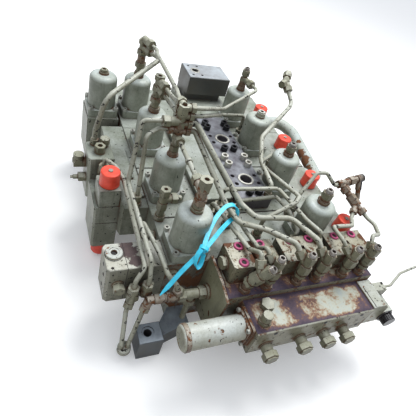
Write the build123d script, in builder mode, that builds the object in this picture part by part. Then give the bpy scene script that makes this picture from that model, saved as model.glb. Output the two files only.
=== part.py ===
from build123d import *
import os
import math

# Rows of spools, counted from the front. The front deck port stands over row two.
row_pitch = 212
row_count = 4
row_y = [row_pitch * (number - 1) for number in range(row_count)]
left_bank_x = -265
right_bank_x = 115
outer_spool_x = -380

# Stack of sections
casting_top_z = 262
casting_left_x = -322
casting_right_x = 305
skirt_height = 60
skirt_inset = 42
stack_front_y = -262
stack_rear_y = 590
section_edges_y = [stack_front_y, -106, 106, 318, stack_rear_y]

# Directions
back = (0, 1, 0)
front = (0, -1, 0)
left = (-1, 0, 0)
right = (1, 0, 0)
up = (0, 0, 1)
down = (0, 0, -1)

# The rear spring cap of the right bank stands forward of its row
right_rear_shift = 32

# Tie rods that clamp the stack
tie_rod_diameter = 16
tie_rod_clearance = 1
tie_rod_inset = 17
tie_rod_heights = [130, 228]
tie_nut_across = 24
tie_nut_length = 13

# Spring caps
cap_flange_width = 100
cap_flange_thickness = 26
cap_dome_radius = 45
cap_height = 136
cap_wall = 10
cap_shoulder = 17
cap_screw_pitch = 84
cap_screw_diameter = 8
cap_screw_head = 15
cap_boss_radius = 16
cap_boss_height = 4

# Spools and their centring springs
spool_radius = 16
spool_fit = 0.05
spool_length = 150
spool_bore_depth = 190
spool_drop = 2
spool_groove_depth = 5
spool_stud_radius = 6
spool_stud_length = 70
spool_nut_across = 19
spool_nut_length = 10
seat_radius = 24
seat_thickness = 4
spring_coil_radius = 18
spring_wire_radius = 3
spring_coils = 4

# Deck plate with its two flange ports
deck_z = 300
deck_width = 110
deck_front_y = -92
deck_rear_y = 350
port_pitch = row_pitch
port_radius = 19
port_depth = 34
port_bolt_span_x = 79.3
port_bolt_span_y = 36.5
port_bolt_radius = 7
port_bolt_depth = 30
port_ring_radius = 26
port_ring_height = 2.5
deck_screw_diameter = 16
deck_screw_head = 24
deck_screws = [(38, 298), (38, 272), (36, 104), (36, 68), (18, 150), (16, -64)]

# Pilot stage at the front
pilot_left_x = -206
pilot_right_x = 262
pilot_front_y = -382
pilot_base_z = 70
unit_pitch = 155
unit_centres_x = [-122 + unit_pitch * number for number in range(3)]
unit_width = 136
unit_front_y = -342
unit_height = 62
unit_port_half_pitch = 31.5
unit_slot_width = 9
unit_slot_depth = 46
ring_radius = 8
ring_hole_radius = 4
ring_height = 3

# Front block with its own spool
front_left_x = -157
front_right_x = 213
front_face_y = -477
front_base_z = 150
front_top_z = 242
front_bore_y = -430
front_bore_z = 205
front_bore_radius = 14
end_plate_thickness = 7
end_plate_size = 74
cylinder_radius = 32
cylinder_length = 157
cylinder_wall = 6
front_plug_x = [-112, -8, 68, 134]
front_plug_z = 178

# Blocks on the left flank
left_manifold_x = -392
left_block_x = -466
left_cap_block_x = -462
left_cap_front_y = -20
left_cap_ledge_z = 226
left_cap_block_base_z = 60
left_cap_block_top_z = 285

# Lower port block, with a foot that reaches back to the front section
lower_block_left_x = -390
lower_block_right_x = -325
lower_block_height = 80
lower_foot_right_x = -236
lower_foot_height = 56
lower_port_x = -362
lower_port_y = -338

# Protective plastic caps over the open ports
port_cap_x = 268
port_cap_shift_y = 10
port_cap_radius = 28
port_cap_height = 45
port_cap_wall = 3
port_stub_radius = 22
port_pin_radius = 6

# Right end cover and its knob
cover_right_x = 276
cover_rear_y = -386
knob_x = cover_right_x + 21
knob_z = 182
knob_mount_y = -473
knob_shaft_radius = 8
knob_shaft_length = 18
knob_radius = 20
knob_length = 18

# Pipes and fittings
run_share = 0.45
heavy_pipe = 15
middle_pipe = 12
thin_pipe = 8
heavy_bend = 28
return_tube_bend = 90
return_flange_radius = 36
middle_bend = 18
return_tube_radius = 24


def hexagon(across):
    return RegularPolygon(across / 2, 6, major_radius=False)


def along(point, direction, distance):
    return Vector(*point) + Vector(*direction).normalized() * distance


def level(z):
    return Plane.XY.offset(z)


def facing(point, direction):
    return Plane(origin=Vector(*point), z_dir=Vector(*direction))


def stack_length(stages):
    return sum(length for shape, across, length in stages)


def fitting(point, direction, stages, branches=(), mouth=0):
    # A turned fitting: hexagons and round lengths one after another, then side branches.
    foot = facing(point, direction)
    arms = [(foot, stages)]
    for height, side, side_stages in branches:
        arms.append((facing(along(point, direction, height), side), side_stages))
    with BuildPart() as body:
        for arm_foot, arm_stages in arms:
            reach = 0
            for shape, across, length in arm_stages:
                with BuildSketch(arm_foot.offset(reach)):
                    if shape == "hex":
                        hexagon(across)
                    else:
                        Circle(across / 2)
                extrude(amount=length)
                reach += length
        if mouth:
            with Locations(foot.offset(stack_length(stages))):
                Hole(mouth / 2, depth=mouth)
    return body.part


def corner_radii(corners, bend):
    # Each bend is as large as asked, or as its two straight runs leave room for.
    radii = []
    for before, corner, after in zip(corners, corners[1:], corners[2:]):
        arriving = corner - before
        leaving = after - corner
        half_turn = math.radians(arriving.get_angle(leaving)) / 2
        room = run_share * min(arriving.length, leaving.length) / math.tan(half_turn)
        radii.append(min(bend, room))
    return radii


def pipe(points, diameter, bend):
    # A bent steel pipe: straight runs joined by tangent arcs.
    corners = [Vector(*point) for point in points]
    with BuildPart() as tube:
        with BuildLine() as route:
            if len(corners) > 2:
                FilletPolyline(*corners, radius=corner_radii(corners, bend))
            else:
                Line(*corners)
        with BuildSketch(Plane(origin=corners[0], z_dir=corners[1] - corners[0])):
            Circle(diameter / 2)
        sweep()
    return tube.part


def socket_screw(head_diameter, shank_diameter, head_height, shank_length):
    with BuildPart() as screw:
        Cylinder(head_diameter / 2, head_height, align=(Align.CENTER, Align.CENTER, Align.MIN))
        Cylinder(shank_diameter / 2, shank_length, align=(Align.CENTER, Align.CENTER, Align.MAX))
        with BuildSketch(level(head_height)):
            hexagon(shank_diameter * 0.8)
        extrude(amount=-head_height * 0.55, mode=Mode.SUBTRACT)
    return screw.part


def write(shape, label):
    shape.label = label
    export_step(shape, f"parts/{label}.step")


def write_group(shapes, label):
    write(Compound(children=list(shapes)), label)


os.makedirs("parts", exist_ok=True)

# Where each spring cap stands
left_spools = [("l1", outer_spool_x, row_y[3]), ("l2", left_bank_x, row_y[3])]
left_spools += [("l3", left_bank_x, row_y[2]), ("l4", left_bank_x, row_y[1])]
left_spools += [("l5", left_bank_x, row_y[0])]
right_rows = row_y[: row_count - 1] + [row_y[-1] - right_rear_shift]
right_spools = [(f"r{row_count - n}", right_bank_x, y) for n, y in enumerate(right_rows)]
spool_places = left_spools + right_spools
cap_top_z = casting_top_z + cap_height
tie_rod_x = [casting_left_x + tie_rod_inset, casting_right_x - tie_rod_inset]
tie_hole_radius = tie_rod_diameter / 2 + tie_rod_clearance
spool_bore_radius = spool_radius


# Cast sections of the stack, one behind the other
def section(front_y, rear_y):
    depth = rear_y - front_y
    with BuildPart() as casting:
        with BuildSketch(Plane.XZ.offset(-front_y)):
            with BuildLine():
                Polyline(
                    (casting_left_x, 2 * skirt_height),
                    (casting_left_x, casting_top_z),
                    (casting_right_x, casting_top_z),
                    (casting_right_x, 2 * skirt_height),
                    (casting_right_x - skirt_inset, skirt_height),
                    (casting_right_x - skirt_inset, 0),
                    (casting_left_x + skirt_inset, 0),
                    (casting_left_x + skirt_inset, skirt_height),
                    close=True,
                )
            make_face()
        extrude(amount=-depth)
        with BuildSketch(Plane.XZ.offset(-front_y)):
            with Locations([(x, z) for x in tie_rod_x for z in tie_rod_heights]):
                Circle(tie_hole_radius)
        extrude(amount=-depth, mode=Mode.SUBTRACT)
        bores = [
            (x, y, casting_top_z)
            for name, x, y in spool_places
            if x > outer_spool_x and front_y < y < rear_y
        ]
        with Locations(bores):
            Hole(spool_bore_radius, depth=spool_bore_depth)
        for y in (front_y, rear_y):
            edge = casting.edges().filter_by(Axis.X).group_by(Axis.Z)[-1].sort_by(Axis.Y)
            chamfer(edge[0] if y == front_y else edge[-1], 3)
    return casting.part


section_names = ["front_section", "second_section", "third_section", "rear_section"]
for number, name in enumerate(section_names):
    write(section(section_edges_y[number], section_edges_y[number + 1]), name)

# Tie rods with a nut at each end
rod_total = stack_rear_y - stack_front_y
tie_rods = []
for x in tie_rod_x:
    for z in tie_rod_heights:
        start = (x, stack_front_y - tie_nut_length - 5, z)
        stages = [
            ("round", tie_rod_diameter, 5),
            ("hex", tie_nut_across, tie_nut_length),
            ("round", tie_rod_diameter, rod_total),
            ("hex", tie_nut_across, tie_nut_length),
            ("round", tie_rod_diameter, 5),
        ]
        tie_rods.append(fitting(start, (0, 1, 0), stages))
write_group(tie_rods, "tie_rods")

# Outer housing beside the rear section
outer_half_width = 52
outer_front_y = row_y[3] - 58
outer_rear_y = row_y[3] + 58
outer_base_z = 92
with BuildPart() as outer_housing:
    with BuildSketch(Plane.XZ.offset(-outer_front_y)):
        with BuildLine():
            Polyline(
                (outer_spool_x - outer_half_width, outer_base_z + 14),
                (outer_spool_x - outer_half_width, casting_top_z),
                (outer_spool_x + outer_half_width, casting_top_z),
                (outer_spool_x + outer_half_width, casting_top_z - 30),
                (casting_left_x, casting_top_z - 40),
                (casting_left_x, outer_base_z),
                (outer_spool_x - outer_half_width + 14, outer_base_z),
                close=True,
            )
        make_face()
    extrude(amount=-(outer_rear_y - outer_front_y))
    with Locations((outer_spool_x, row_y[3], casting_top_z)):
        Hole(spool_bore_radius, depth=casting_top_z - outer_base_z - 12)
write(outer_housing.part, "outer_housing")


# Spring caps: a hollow domed cover cast in one with its square flange
def spring_cap(x, y):
    base = Plane(origin=(x, y, casting_top_z))
    with BuildPart() as cap:
        with BuildSketch(base):
            RectangleRounded(cap_flange_width, cap_flange_width, 12)
        extrude(amount=cap_flange_thickness)
        with BuildSketch(base):
            Circle(cap_dome_radius)
        extrude(amount=cap_height)
        fillet(cap.edges().group_by(Axis.Z)[-1], cap_shoulder)
        with BuildSketch(base):
            Circle(cap_dome_radius - cap_wall)
        extrude(amount=cap_height - cap_wall, mode=Mode.SUBTRACT)
        with BuildSketch(base.offset(cap_height)):
            Circle(cap_boss_radius)
        extrude(amount=cap_boss_height)
        with Locations(base.offset(cap_flange_thickness)):
            with GridLocations(cap_screw_pitch, cap_screw_pitch, 2, 2):
                Hole(cap_screw_diameter / 2 + 0.3, depth=cap_flange_thickness)
    return cap.part


for name, x, y in spool_places:
    write(spring_cap(x, y), f"spring_cap_{name}")

cap_screws = []
for name, x, y in spool_places:
    for side_x in (-1, 1):
        for side_y in (-1, 1):
            place = Pos(
                x + side_x * cap_screw_pitch / 2,
                y + side_y * cap_screw_pitch / 2,
                casting_top_z + cap_flange_thickness,
            )
            screw = socket_screw(cap_screw_head, cap_screw_diameter, 10, cap_flange_thickness)
            cap_screws.append(place * screw)
write_group(cap_screws, "cap_flange_screws")


# Spools: a grooved land in the bore, a stud above it and a nut that holds the spring seats
def spool(x, y, length):
    top = casting_top_z - spool_drop
    land = spool_radius - spool_fit
    neck = land - spool_groove_depth
    stud_top = casting_top_z + spool_stud_length
    with BuildPart() as body:
        with BuildSketch(Plane(origin=(x, y, 0), x_dir=(1, 0, 0), z_dir=(0, -1, 0))):
            with BuildLine():
                Polyline(
                    (0, top - length),
                    (land, top - length),
                    (land, top - length * 0.7),
                    (neck, top - length * 0.62),
                    (neck, top - length * 0.42),
                    (land, top - length * 0.34),
                    (land, top),
                    (spool_stud_radius, top),
                    (spool_stud_radius, stud_top),
                    (0, stud_top),
                    close=True,
                )
            make_face()
        revolve(axis=Axis((x, y, 0), (0, 0, 1)))
        with BuildSketch(level(stud_top - spool_nut_length)):
            with Locations((x, y)):
                hexagon(spool_nut_across)
        extrude(amount=spool_nut_length)
    return body.part


for name, x, y in spool_places:
    length = spool_length if x > outer_spool_x else spool_length - 16
    write(spool(x, y, length), f"spool_{name}")


def seat(x, y, z):
    with BuildPart() as washer:
        with BuildSketch(level(z)):
            with Locations((x, y)):
                Circle(seat_radius)
                Circle(spool_stud_radius + 0.3, mode=Mode.SUBTRACT)
        extrude(amount=seat_thickness)
    return washer.part


def coil_spring(x, y, low_z, high_z):
    lead = high_z - low_z - 2 * spring_wire_radius
    with BuildPart() as spring:
        with BuildLine(Plane(origin=(x, y, low_z + spring_wire_radius))) as turns:
            Helix(lead / spring_coils, lead, spring_coil_radius)
        with BuildSketch(Plane(origin=turns.line @ 0, z_dir=turns.line % 0)):
            Circle(spring_wire_radius)
        sweep(is_frenet=True)
    return spring.part


upper_seat_z = casting_top_z + spool_stud_length - spool_nut_length - seat_thickness
springs = []
for name, x, y in spool_places:
    springs.append(seat(x, y, casting_top_z))
    springs.append(coil_spring(x, y, casting_top_z + seat_thickness, upper_seat_z))
    springs.append(seat(x, y, upper_seat_z))
write_group(springs, "centring_springs")

# Deck plate with two flange ports
deck_ports_y = [0, port_pitch]
deck_thickness = deck_z - casting_top_z
deck_middle_y = (deck_front_y + deck_rear_y) / 2
deck_screw_places = [(side * x, y) for x, y in deck_screws for side in (-1, 1)]
with BuildPart() as deck_plate:
    with BuildSketch(level(casting_top_z)):
        with Locations((0, deck_middle_y)):
            RectangleRounded(deck_width, deck_rear_y - deck_front_y, 4)
    extrude(amount=deck_thickness)
    chamfer(deck_plate.edges().group_by(Axis.Z)[-1], 1.5)
    with Locations([(0, y, deck_z) for y in deck_ports_y]):
        Hole(port_radius, depth=port_depth)
    for y in deck_ports_y:
        with Locations(Plane(origin=(0, y, deck_z))):
            with GridLocations(port_bolt_span_x, port_bolt_span_y, 2, 2):
                Hole(port_bolt_radius, depth=port_bolt_depth)
    with Locations([(x, y, deck_z) for x, y in deck_screw_places]):
        Hole(deck_screw_diameter / 2 + 0.5, depth=deck_thickness)
write(deck_plate.part, "deck_plate")

deck_screw = socket_screw(deck_screw_head, deck_screw_diameter, 16, deck_thickness)
write_group([Pos(x, y, deck_z) * deck_screw for x, y in deck_screw_places], "deck_screws")

# Rear port block and the plate under it
rear_block_x = (-57, 111)
rear_block_y = (476, 588)
rear_block_top_z = 388
rear_foot_top_z = 288
rear_port_inset = 38
rear_bolt_span_x = 36
rear_bolt_span_y = 70
with BuildPart() as rear_foot_plate:
    with BuildSketch(level(casting_top_z)):
        with Locations((16, 473)):
            RectangleRounded(190, 230, 10)
        with Locations((right_bank_x, right_rows[-1])):
            Rectangle(cap_flange_width + 2, cap_flange_width + 2, mode=Mode.SUBTRACT)
    extrude(amount=rear_foot_top_z - casting_top_z)
write(rear_foot_plate.part, "rear_foot_plate")

rear_block_mid = (
    (rear_block_x[0] + rear_block_x[1]) / 2,
    (rear_block_y[0] + rear_block_y[1]) / 2,
)
with BuildPart() as rear_port_block:
    with BuildSketch(level(rear_foot_top_z)):
        with Locations((rear_block_mid[0] - 8, rear_block_mid[1] + 8)):
            Rectangle(150, 90)
    extrude(amount=30)
    with BuildSketch(level(rear_foot_top_z + 30)):
        with Locations(rear_block_mid):
            Rectangle(rear_block_x[1] - rear_block_x[0], rear_block_y[1] - rear_block_y[0])
    extrude(amount=rear_block_top_z - rear_foot_top_z - 30)
    chamfer(rear_port_block.edges().group_by(Axis.Z)[-1], 2)
    rear_port = (rear_block_x[0] + rear_port_inset, rear_block_mid[1], rear_block_top_z)
    with Locations(rear_port):
        Hole(13, depth=60)
    with Locations(Plane(origin=rear_port)):
        with GridLocations(rear_bolt_span_x, rear_bolt_span_y, 2, 2):
            Hole(5, depth=20)
write(rear_port_block.part, "rear_port_block")

# Pilot casting that carries the pilot units
with BuildPart() as pilot_casting:
    with BuildSketch(Plane.YZ.offset(pilot_left_x)):
        with BuildLine():
            Polyline(
                (stack_front_y, pilot_base_z),
                (stack_front_y, casting_top_z),
                (pilot_front_y, casting_top_z),
                (pilot_front_y, front_base_z - 20),
                (pilot_front_y + 50, pilot_base_z),
                close=True,
            )
        make_face()
    extrude(amount=pilot_right_x - pilot_left_x)
write(pilot_casting.part, "pilot_casting")


# Pilot units: a two-lobed block with a slot between the lobes
def pilot_unit(centre_x):
    depth = stack_front_y - unit_front_y
    with BuildPart() as unit:
        with BuildSketch(level(casting_top_z)):
            with Locations((centre_x, (stack_front_y + unit_front_y) / 2)):
                Rectangle(unit_width, depth)
            with Locations((centre_x, unit_front_y + unit_slot_depth / 2)):
                Rectangle(unit_slot_width, unit_slot_depth, mode=Mode.SUBTRACT)
        extrude(amount=unit_height)
        chamfer(unit.edges().filter_by(Axis.Z).group_by(Axis.Y)[0], 6)
    return unit.part


write_group([pilot_unit(centre_x) for centre_x in unit_centres_x], "pilot_units")

unit_top_z = casting_top_z + unit_height
ring_places = [
    (centre_x + side * unit_port_half_pitch, stack_front_y - 14)
    for centre_x in unit_centres_x
    for side in (-1, 1)
]
ring_places.append((unit_centres_x[0] - unit_port_half_pitch - 6, unit_front_y + 14))
rings = []
for x, y in ring_places:
    with BuildPart() as ring:
        with BuildSketch(level(unit_top_z)):
            with Locations((x, y)):
                Circle(ring_radius)
                Circle(ring_hole_radius, mode=Mode.SUBTRACT)
        extrude(amount=ring_height)
        fillet(ring.edges().group_by(Axis.Z)[-1].sort_by(SortBy.LENGTH)[-1], 1.2)
    rings.append(ring.part)
write_group(rings, "pilot_port_rings")

deck_rings = []
for y in deck_ports_y:
    with BuildPart() as deck_ring:
        with BuildSketch(level(deck_z)):
            with Locations((0, y)):
                Circle(port_ring_radius)
                Circle(port_radius + 1, mode=Mode.SUBTRACT)
        extrude(amount=port_ring_height)
    deck_rings.append(deck_ring.part)
write_group(deck_rings, "deck_port_rings")

# Screwed fittings in front of the pilot units, each with an arm for its pipe; the first one leans
elbow_row_y = -364
elbow_foot = [("round", 21, 16), ("hex", 29, 12)]
elbow_foot_length = stack_length(elbow_foot)
elbow_body = [("hex", 27, 10), ("round", 23, 8), ("hex", 30, 26), ("round", 22, 10), ("hex", 25, 24)]
elbow_arm_height = 40
leaning_way = (0.4, -0.23, 0.88)
elbow_pipe_arm = [("round", 20, 22), ("hex", 24, 20)]
elbow_arm_ways = [
    (0.05, 0.6, 0.8),
    (-0.3, 0.72, 0.62),
    (-0.35, 0.72, 0.62),
    (-0.25, 0.72, 0.64),
    (-0.45, 0.7, 0.62),
    (0.3, 0.7, 0.64),
]
elbow_feet = [
    (centre_x + side * unit_port_half_pitch, elbow_row_y, casting_top_z)
    for centre_x in unit_centres_x
    for side in (-1, 1)
]
pilot_elbows = []
elbow_pipe_ends = []
for number, foot in enumerate(elbow_feet):
    way = leaning_way if number == 0 else up
    arm_way = elbow_arm_ways[number]
    start = tuple(along(foot, up, elbow_foot_length))
    arms = [(0, down, elbow_foot), (elbow_arm_height, arm_way, elbow_pipe_arm)]
    pilot_elbows.append(fitting(start, way, elbow_body, arms, mouth=12))
    joint = along(start, way, elbow_arm_height)
    elbow_pipe_ends.append((tuple(along(joint, arm_way, stack_length(elbow_pipe_arm))), arm_way))
write_group(pilot_elbows, "pilot_elbows")

# Front block
with BuildPart() as front_block:
    with BuildSketch(Plane.YZ.offset(front_left_x)):
        with Locations(((front_face_y + pilot_front_y) / 2, (front_base_z + front_top_z) / 2)):
            Rectangle(pilot_front_y - front_face_y, front_top_z - front_base_z)
    extrude(amount=front_right_x - front_left_x)
    chamfer(front_block.edges().filter_by(Axis.X).group_by(Axis.Y)[0], 3)
    with Locations(Plane(origin=(front_left_x, front_bore_y, front_bore_z), z_dir=(-1, 0, 0))):
        Hole(front_bore_radius, depth=front_right_x - front_left_x)
write(front_block.part, "front_block")

front_plug_stages = [("round", 34, 4), ("round", 30, 18), ("hex", 36, 16), ("hex", 30, 4)]
front_plugs = [
    fitting((x, front_face_y, front_plug_z), (0, -1, 0), front_plug_stages) for x in front_plug_x
]

front_top_stages = [("round", 30, 3), ("hex", 32, 14)]
front_cap_stages = [("hex", 30, 12), ("round", 26, 22)]
front_plugs.append(fitting((-103, -410, front_top_z), (0, 0, 1), front_top_stages))
front_plugs.append(fitting((-128, -448, front_top_z), (0, 0, 1), front_cap_stages))
write_group(front_plugs, "front_plugs")

# Spring cylinder on the left end of the front block, with its two end plates
end_plates = []
for number in range(2):
    plate_x = front_left_x - number * end_plate_thickness
    size = end_plate_size - 8 * number
    with BuildPart() as end_plate:
        with BuildSketch(Plane(origin=(plate_x, front_bore_y, front_bore_z), z_dir=(-1, 0, 0))):
            RectangleRounded(size, size, 8)
            Circle(front_bore_radius, mode=Mode.SUBTRACT)
        extrude(amount=end_plate_thickness)
    end_plates.append(end_plate.part)
write_group(end_plates, "front_end_plates")

cylinder_start_x = front_left_x - 2 * end_plate_thickness
with BuildPart() as spring_cylinder:
    with BuildSketch(
        Plane(origin=(cylinder_start_x, front_bore_y, front_bore_z), z_dir=(-1, 0, 0))
    ):
        Circle(cylinder_radius)
    extrude(amount=cylinder_length)
    fillet(spring_cylinder.edges().group_by(Axis.X)[0], 6)
    with BuildSketch(
        Plane(origin=(cylinder_start_x, front_bore_y, front_bore_z), z_dir=(-1, 0, 0))
    ):
        Circle(cylinder_radius - cylinder_wall)
    extrude(amount=cylinder_length - cylinder_wall, mode=Mode.SUBTRACT)
write(spring_cylinder.part, "spring_cylinder")

front_spool_stages = [
    ("round", 2 * front_bore_radius - 2 * spool_fit, 60),
    ("round", 2 * front_bore_radius - 12, 40),
    ("round", 2 * front_bore_radius - 2 * spool_fit, 60),
    ("round", 2 * front_bore_radius - 12, 40),
    ("round", 2 * front_bore_radius - 2 * spool_fit, 120),
    ("round", 12, 90),
    ("hex", 19, 8),
]
front_spool_start = (front_right_x - 20, front_bore_y, front_bore_z)
write(fitting(front_spool_start, (-1, 0, 0), front_spool_stages), "front_spool")

# Return spring of the front spool, between the end plates and the nut on the spool's stud
front_nut_x = front_spool_start[0] - stack_length(front_spool_stages[:-1])
front_seat_planes = [
    Plane(origin=(x, front_bore_y, front_bore_z), z_dir=(-1, 0, 0))
    for x in (cylinder_start_x, front_nut_x + seat_thickness)
]
front_spring_parts = []
for plane in front_seat_planes:
    with BuildPart() as front_seat:
        with BuildSketch(plane):
            Circle(seat_radius)
            Circle(spool_stud_radius + 0.3, mode=Mode.SUBTRACT)
        extrude(amount=seat_thickness)
    front_spring_parts.append(front_seat.part)
front_coil_length = cylinder_start_x - front_nut_x - 2 * seat_thickness - 2 * spring_wire_radius
coil_start = front_seat_planes[0].offset(seat_thickness + spring_wire_radius).origin
with BuildPart() as front_coil:
    with BuildLine() as front_turns:
        Helix(
            front_coil_length / 3,
            front_coil_length,
            spring_coil_radius,
            center=coil_start,
            direction=(-1, 0, 0),
        )
    with BuildSketch(Plane(origin=front_turns.line @ 0, z_dir=front_turns.line % 0)):
        Circle(spring_wire_radius)
    sweep(is_frenet=True)
front_spring_parts.append(front_coil.part)
write_group(front_spring_parts, "front_spring")

# Right end cover, pressure box and the knurled knob
with BuildPart() as right_cover:
    with BuildSketch(Plane.XZ.offset(-cover_rear_y)):
        with BuildLine():
            Polyline(
                (front_right_x, 160),
                (front_right_x, front_top_z + 4),
                (cover_right_x - 16, front_top_z + 4),
                (cover_right_x, front_top_z - 12),
                (cover_right_x, 160),
                close=True,
            )
        make_face()
    extrude(amount=87)
    with BuildSketch(Plane.XZ.offset(420)):
        with Locations((knob_x, knob_z)):
            RectangleRounded(42, 44, 6)
    extrude(amount=-knob_mount_y - 420)
    with Locations(facing((knob_x, knob_mount_y, knob_z), (0, -1, 0))):
        Hole(knob_shaft_radius + spool_fit, depth=knob_shaft_length + 2)
write(right_cover.part, "right_cover")

# Knob: a shaft in the cover, a collar that turns just clear of it and a fluted grip
knob_foot = facing((knob_x, knob_mount_y - 0.3, knob_z), (0, -1, 0))
with BuildPart() as knurled_knob:
    with BuildSketch(knob_foot.offset(-knob_shaft_length)):
        Circle(knob_shaft_radius)
    extrude(amount=knob_shaft_length)
    with BuildSketch(knob_foot):
        Circle(knob_radius - 5)
    extrude(amount=6)
    with BuildSketch(knob_foot.offset(6)):
        Circle(knob_radius)
        with PolarLocations(knob_radius, 18):
            Circle(1.6, mode=Mode.SUBTRACT)
    extrude(amount=knob_length)
write(knurled_knob.part, "knurled_knob")

# Gauge line: a square connector and the thin tube that leaves it
connector_y = -404
connector_z = 214
connector_size = 30
connector_length = 44
with BuildPart() as connector_box:
    with BuildSketch(Plane.YZ.offset(cover_right_x)):
        with Locations((connector_y, connector_z)):
            RectangleRounded(connector_size, connector_size, 4)
    extrude(amount=connector_length)
line_start = (cover_right_x + connector_length, connector_y, connector_z + 6)
line_points = [line_start, (352, connector_y, connector_z + 6), (400, -380, 240), (480, -368, 242)]
write_group([connector_box.part, pipe(line_points, thin_pipe, 20)], "gauge_line")

# Bracket plate on the left end of the pilot casting
with BuildPart() as bracket_plate:
    with BuildSketch(Plane(origin=(pilot_left_x, 0, 0), x_dir=(0, 1, 0), z_dir=(1, 0, 0))):
        with BuildLine():
            Polyline(
                (-264, 283),
                (-264, 132),
                (-313, 128),
                (-345, 115),
                (-391, 183),
                (-395, 264),
                (-345, 278),
                close=True,
            )
        make_face()
        with Locations((-352, 150)):
            SlotOverall(16, 7, rotation=60, mode=Mode.SUBTRACT)
    extrude(amount=-7)
write(bracket_plate.part, "bracket_plate")

# Left flank: manifold, its blocks and cover strips
with BuildPart() as left_manifold:
    with BuildSketch(Plane.YZ.offset(left_manifold_x)):
        with BuildLine():
            Polyline((-60, 150), (-60, 258), (330, 258), (330, 150), (290, 130), (-20, 130), close=True)
        make_face()
    extrude(amount=casting_left_x - left_manifold_x)
write(left_manifold.part, "left_manifold")

left_blocks = [
    ("left_valve_block", (left_block_x, 102, 150), (left_manifold_x, 187, 300)),
    ("left_front_block", (-470, -262, 135), (casting_left_x, -180, casting_top_z)),
]
for name, low, high in left_blocks:
    with BuildPart() as block:
        with BuildSketch(level(low[2])):
            with Locations(((low[0] + high[0]) / 2, (low[1] + high[1]) / 2)):
                Rectangle(high[0] - low[0], high[1] - low[1])
        extrude(amount=high[2] - low[2])
        chamfer(block.edges().filter_by(Axis.Z).group_by(Axis.X)[0], 8)
        chamfer(block.edges().group_by(Axis.Z)[-1], 1.5)
    write(block.part, name)

# Block below the left protective caps, with a ledge round its narrow upper part
with BuildPart() as left_cap_block:
    with BuildSketch(level(left_cap_block_base_z)):
        with Locations(((left_cap_block_x + left_manifold_x) / 2, (left_cap_front_y + 102) / 2)):
            Rectangle(left_manifold_x - left_cap_block_x, 102 - left_cap_front_y)
    extrude(amount=left_cap_ledge_z - left_cap_block_base_z)
    chamfer(left_cap_block.edges().filter_by(Axis.Z).group_by(Axis.X)[0], 6)
    with BuildSketch(level(left_cap_ledge_z)):
        with Locations((-422, left_cap_front_y + 36)):
            RectangleRounded(60, 68, 4)
    extrude(amount=left_cap_block_top_z - left_cap_ledge_z)
    with BuildSketch(level(160)):
        with Locations(((left_cap_block_x + left_manifold_x) / 2, left_cap_front_y)):
            Rectangle(left_manifold_x - left_cap_block_x, 3)
    extrude(amount=2, mode=Mode.SUBTRACT)
write(left_cap_block.part, "left_cap_block")

# Lower port block in front of the stack
with BuildPart() as lower_port_block:
    with BuildSketch(level(0)):
        with Locations(((lower_block_left_x + lower_block_right_x) / 2, lower_port_y - 2)):
            Rectangle(lower_block_right_x - lower_block_left_x, 56)
    extrude(amount=lower_block_height)
    chamfer(lower_port_block.edges().group_by(Axis.Z)[-1], 1.5)
    with BuildSketch(level(0)):
        with BuildLine():
            Polyline(
                (lower_block_right_x, -345),
                (lower_block_right_x, -312),
                (lower_block_right_x + 40, stack_front_y),
                (lower_foot_right_x, stack_front_y),
                (lower_foot_right_x, -320),
                close=True,
            )
        make_face()
    extrude(amount=lower_foot_height)
    with Locations((lower_port_x, lower_port_y, lower_block_height)):
        CounterBoreHole(11, 17, 4, depth=60)
write(lower_port_block.part, "lower_port_block")

# Port stubs under protective plastic caps, four on the right bank and two on the left cap block
port_caps = [((port_cap_x, y + port_cap_shift_y, casting_top_z), (0, 0, 1)) for y in row_y]
port_caps.append(((-421, 15, left_cap_block_top_z), (0, 0, 1)))
port_caps.append(((-429, 8, left_cap_block_base_z), (0, 0, -1)))
stubs = []
shells = []
for point, direction in port_caps:
    stub_length = port_cap_height - port_cap_wall
    stubs.append(fitting(point, direction, [("round", 2 * port_stub_radius, stub_length)]))
    foot = facing(point, direction)
    with BuildPart() as shell:
        with BuildSketch(foot.offset(1)):
            Circle(port_cap_radius)
        extrude(amount=port_cap_height - 1, taper=2)
        fillet(shell.faces().sort_by(Axis(point, direction))[-1].edges(), 4)
        with BuildSketch(foot):
            Circle(port_stub_radius + 0.3)
        extrude(amount=stub_length, mode=Mode.SUBTRACT)
    shells.append(shell.part)
    top = along(point, direction, port_cap_height)
    stubs.append(fitting(top, direction, [("round", 2 * port_pin_radius, 3)]))
write_group(stubs, "port_stubs")
write_group(shells, "port_caps")

# Fittings screwed into the spring caps
fitting_foot_z = cap_top_z + cap_boss_height
cap_fittings = {
    "l1": [("round", 30, 3), ("hex", 22, 9)],
    "l2": [("hex", 30, 14), ("round", 24, 18), ("hex", 32, 16), ("round", 26, 27), ("hex", 30, 16)],
    "l3": [("hex", 32, 12), ("round", 24, 18), ("hex", 30, 16), ("round", 25, 20), ("hex", 30, 16)],
    "l4": [("round", 26, 12), ("hex", 24, 16), ("round", 20, 22), ("hex", 24, 16), ("round", 19, 18)],
    "l5": [("hex", 32, 6), ("round", 26, 14), ("hex", 30, 18), ("round", 25, 22), ("hex", 28, 16)],
    "r1": [("hex", 28, 14), ("round", 26, 16), ("hex", 28, 12), ("round", 20, 12), ("hex", 27, 19)],
    "r2": [("round", 34, 3), ("hex", 28, 10), ("round", 24, 4)],
    "r3": [("hex", 32, 6), ("round", 22, 8), ("hex", 28, 16)],
    "r4": [("hex", 32, 8), ("round", 24, 8), ("hex", 28, 18)],
}
cap_fittings["l2"] += [("round", 24, 18), ("hex", 28, 14)]
cap_fittings["l3"] += [("round", 24, 18), ("hex", 28, 13)]
cap_fittings["l4"] += [("hex", 26, 20), ("round", 22, 16), ("hex", 26, 28)]
cap_fittings["l5"] += [("hex", 30, 17)]
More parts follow.
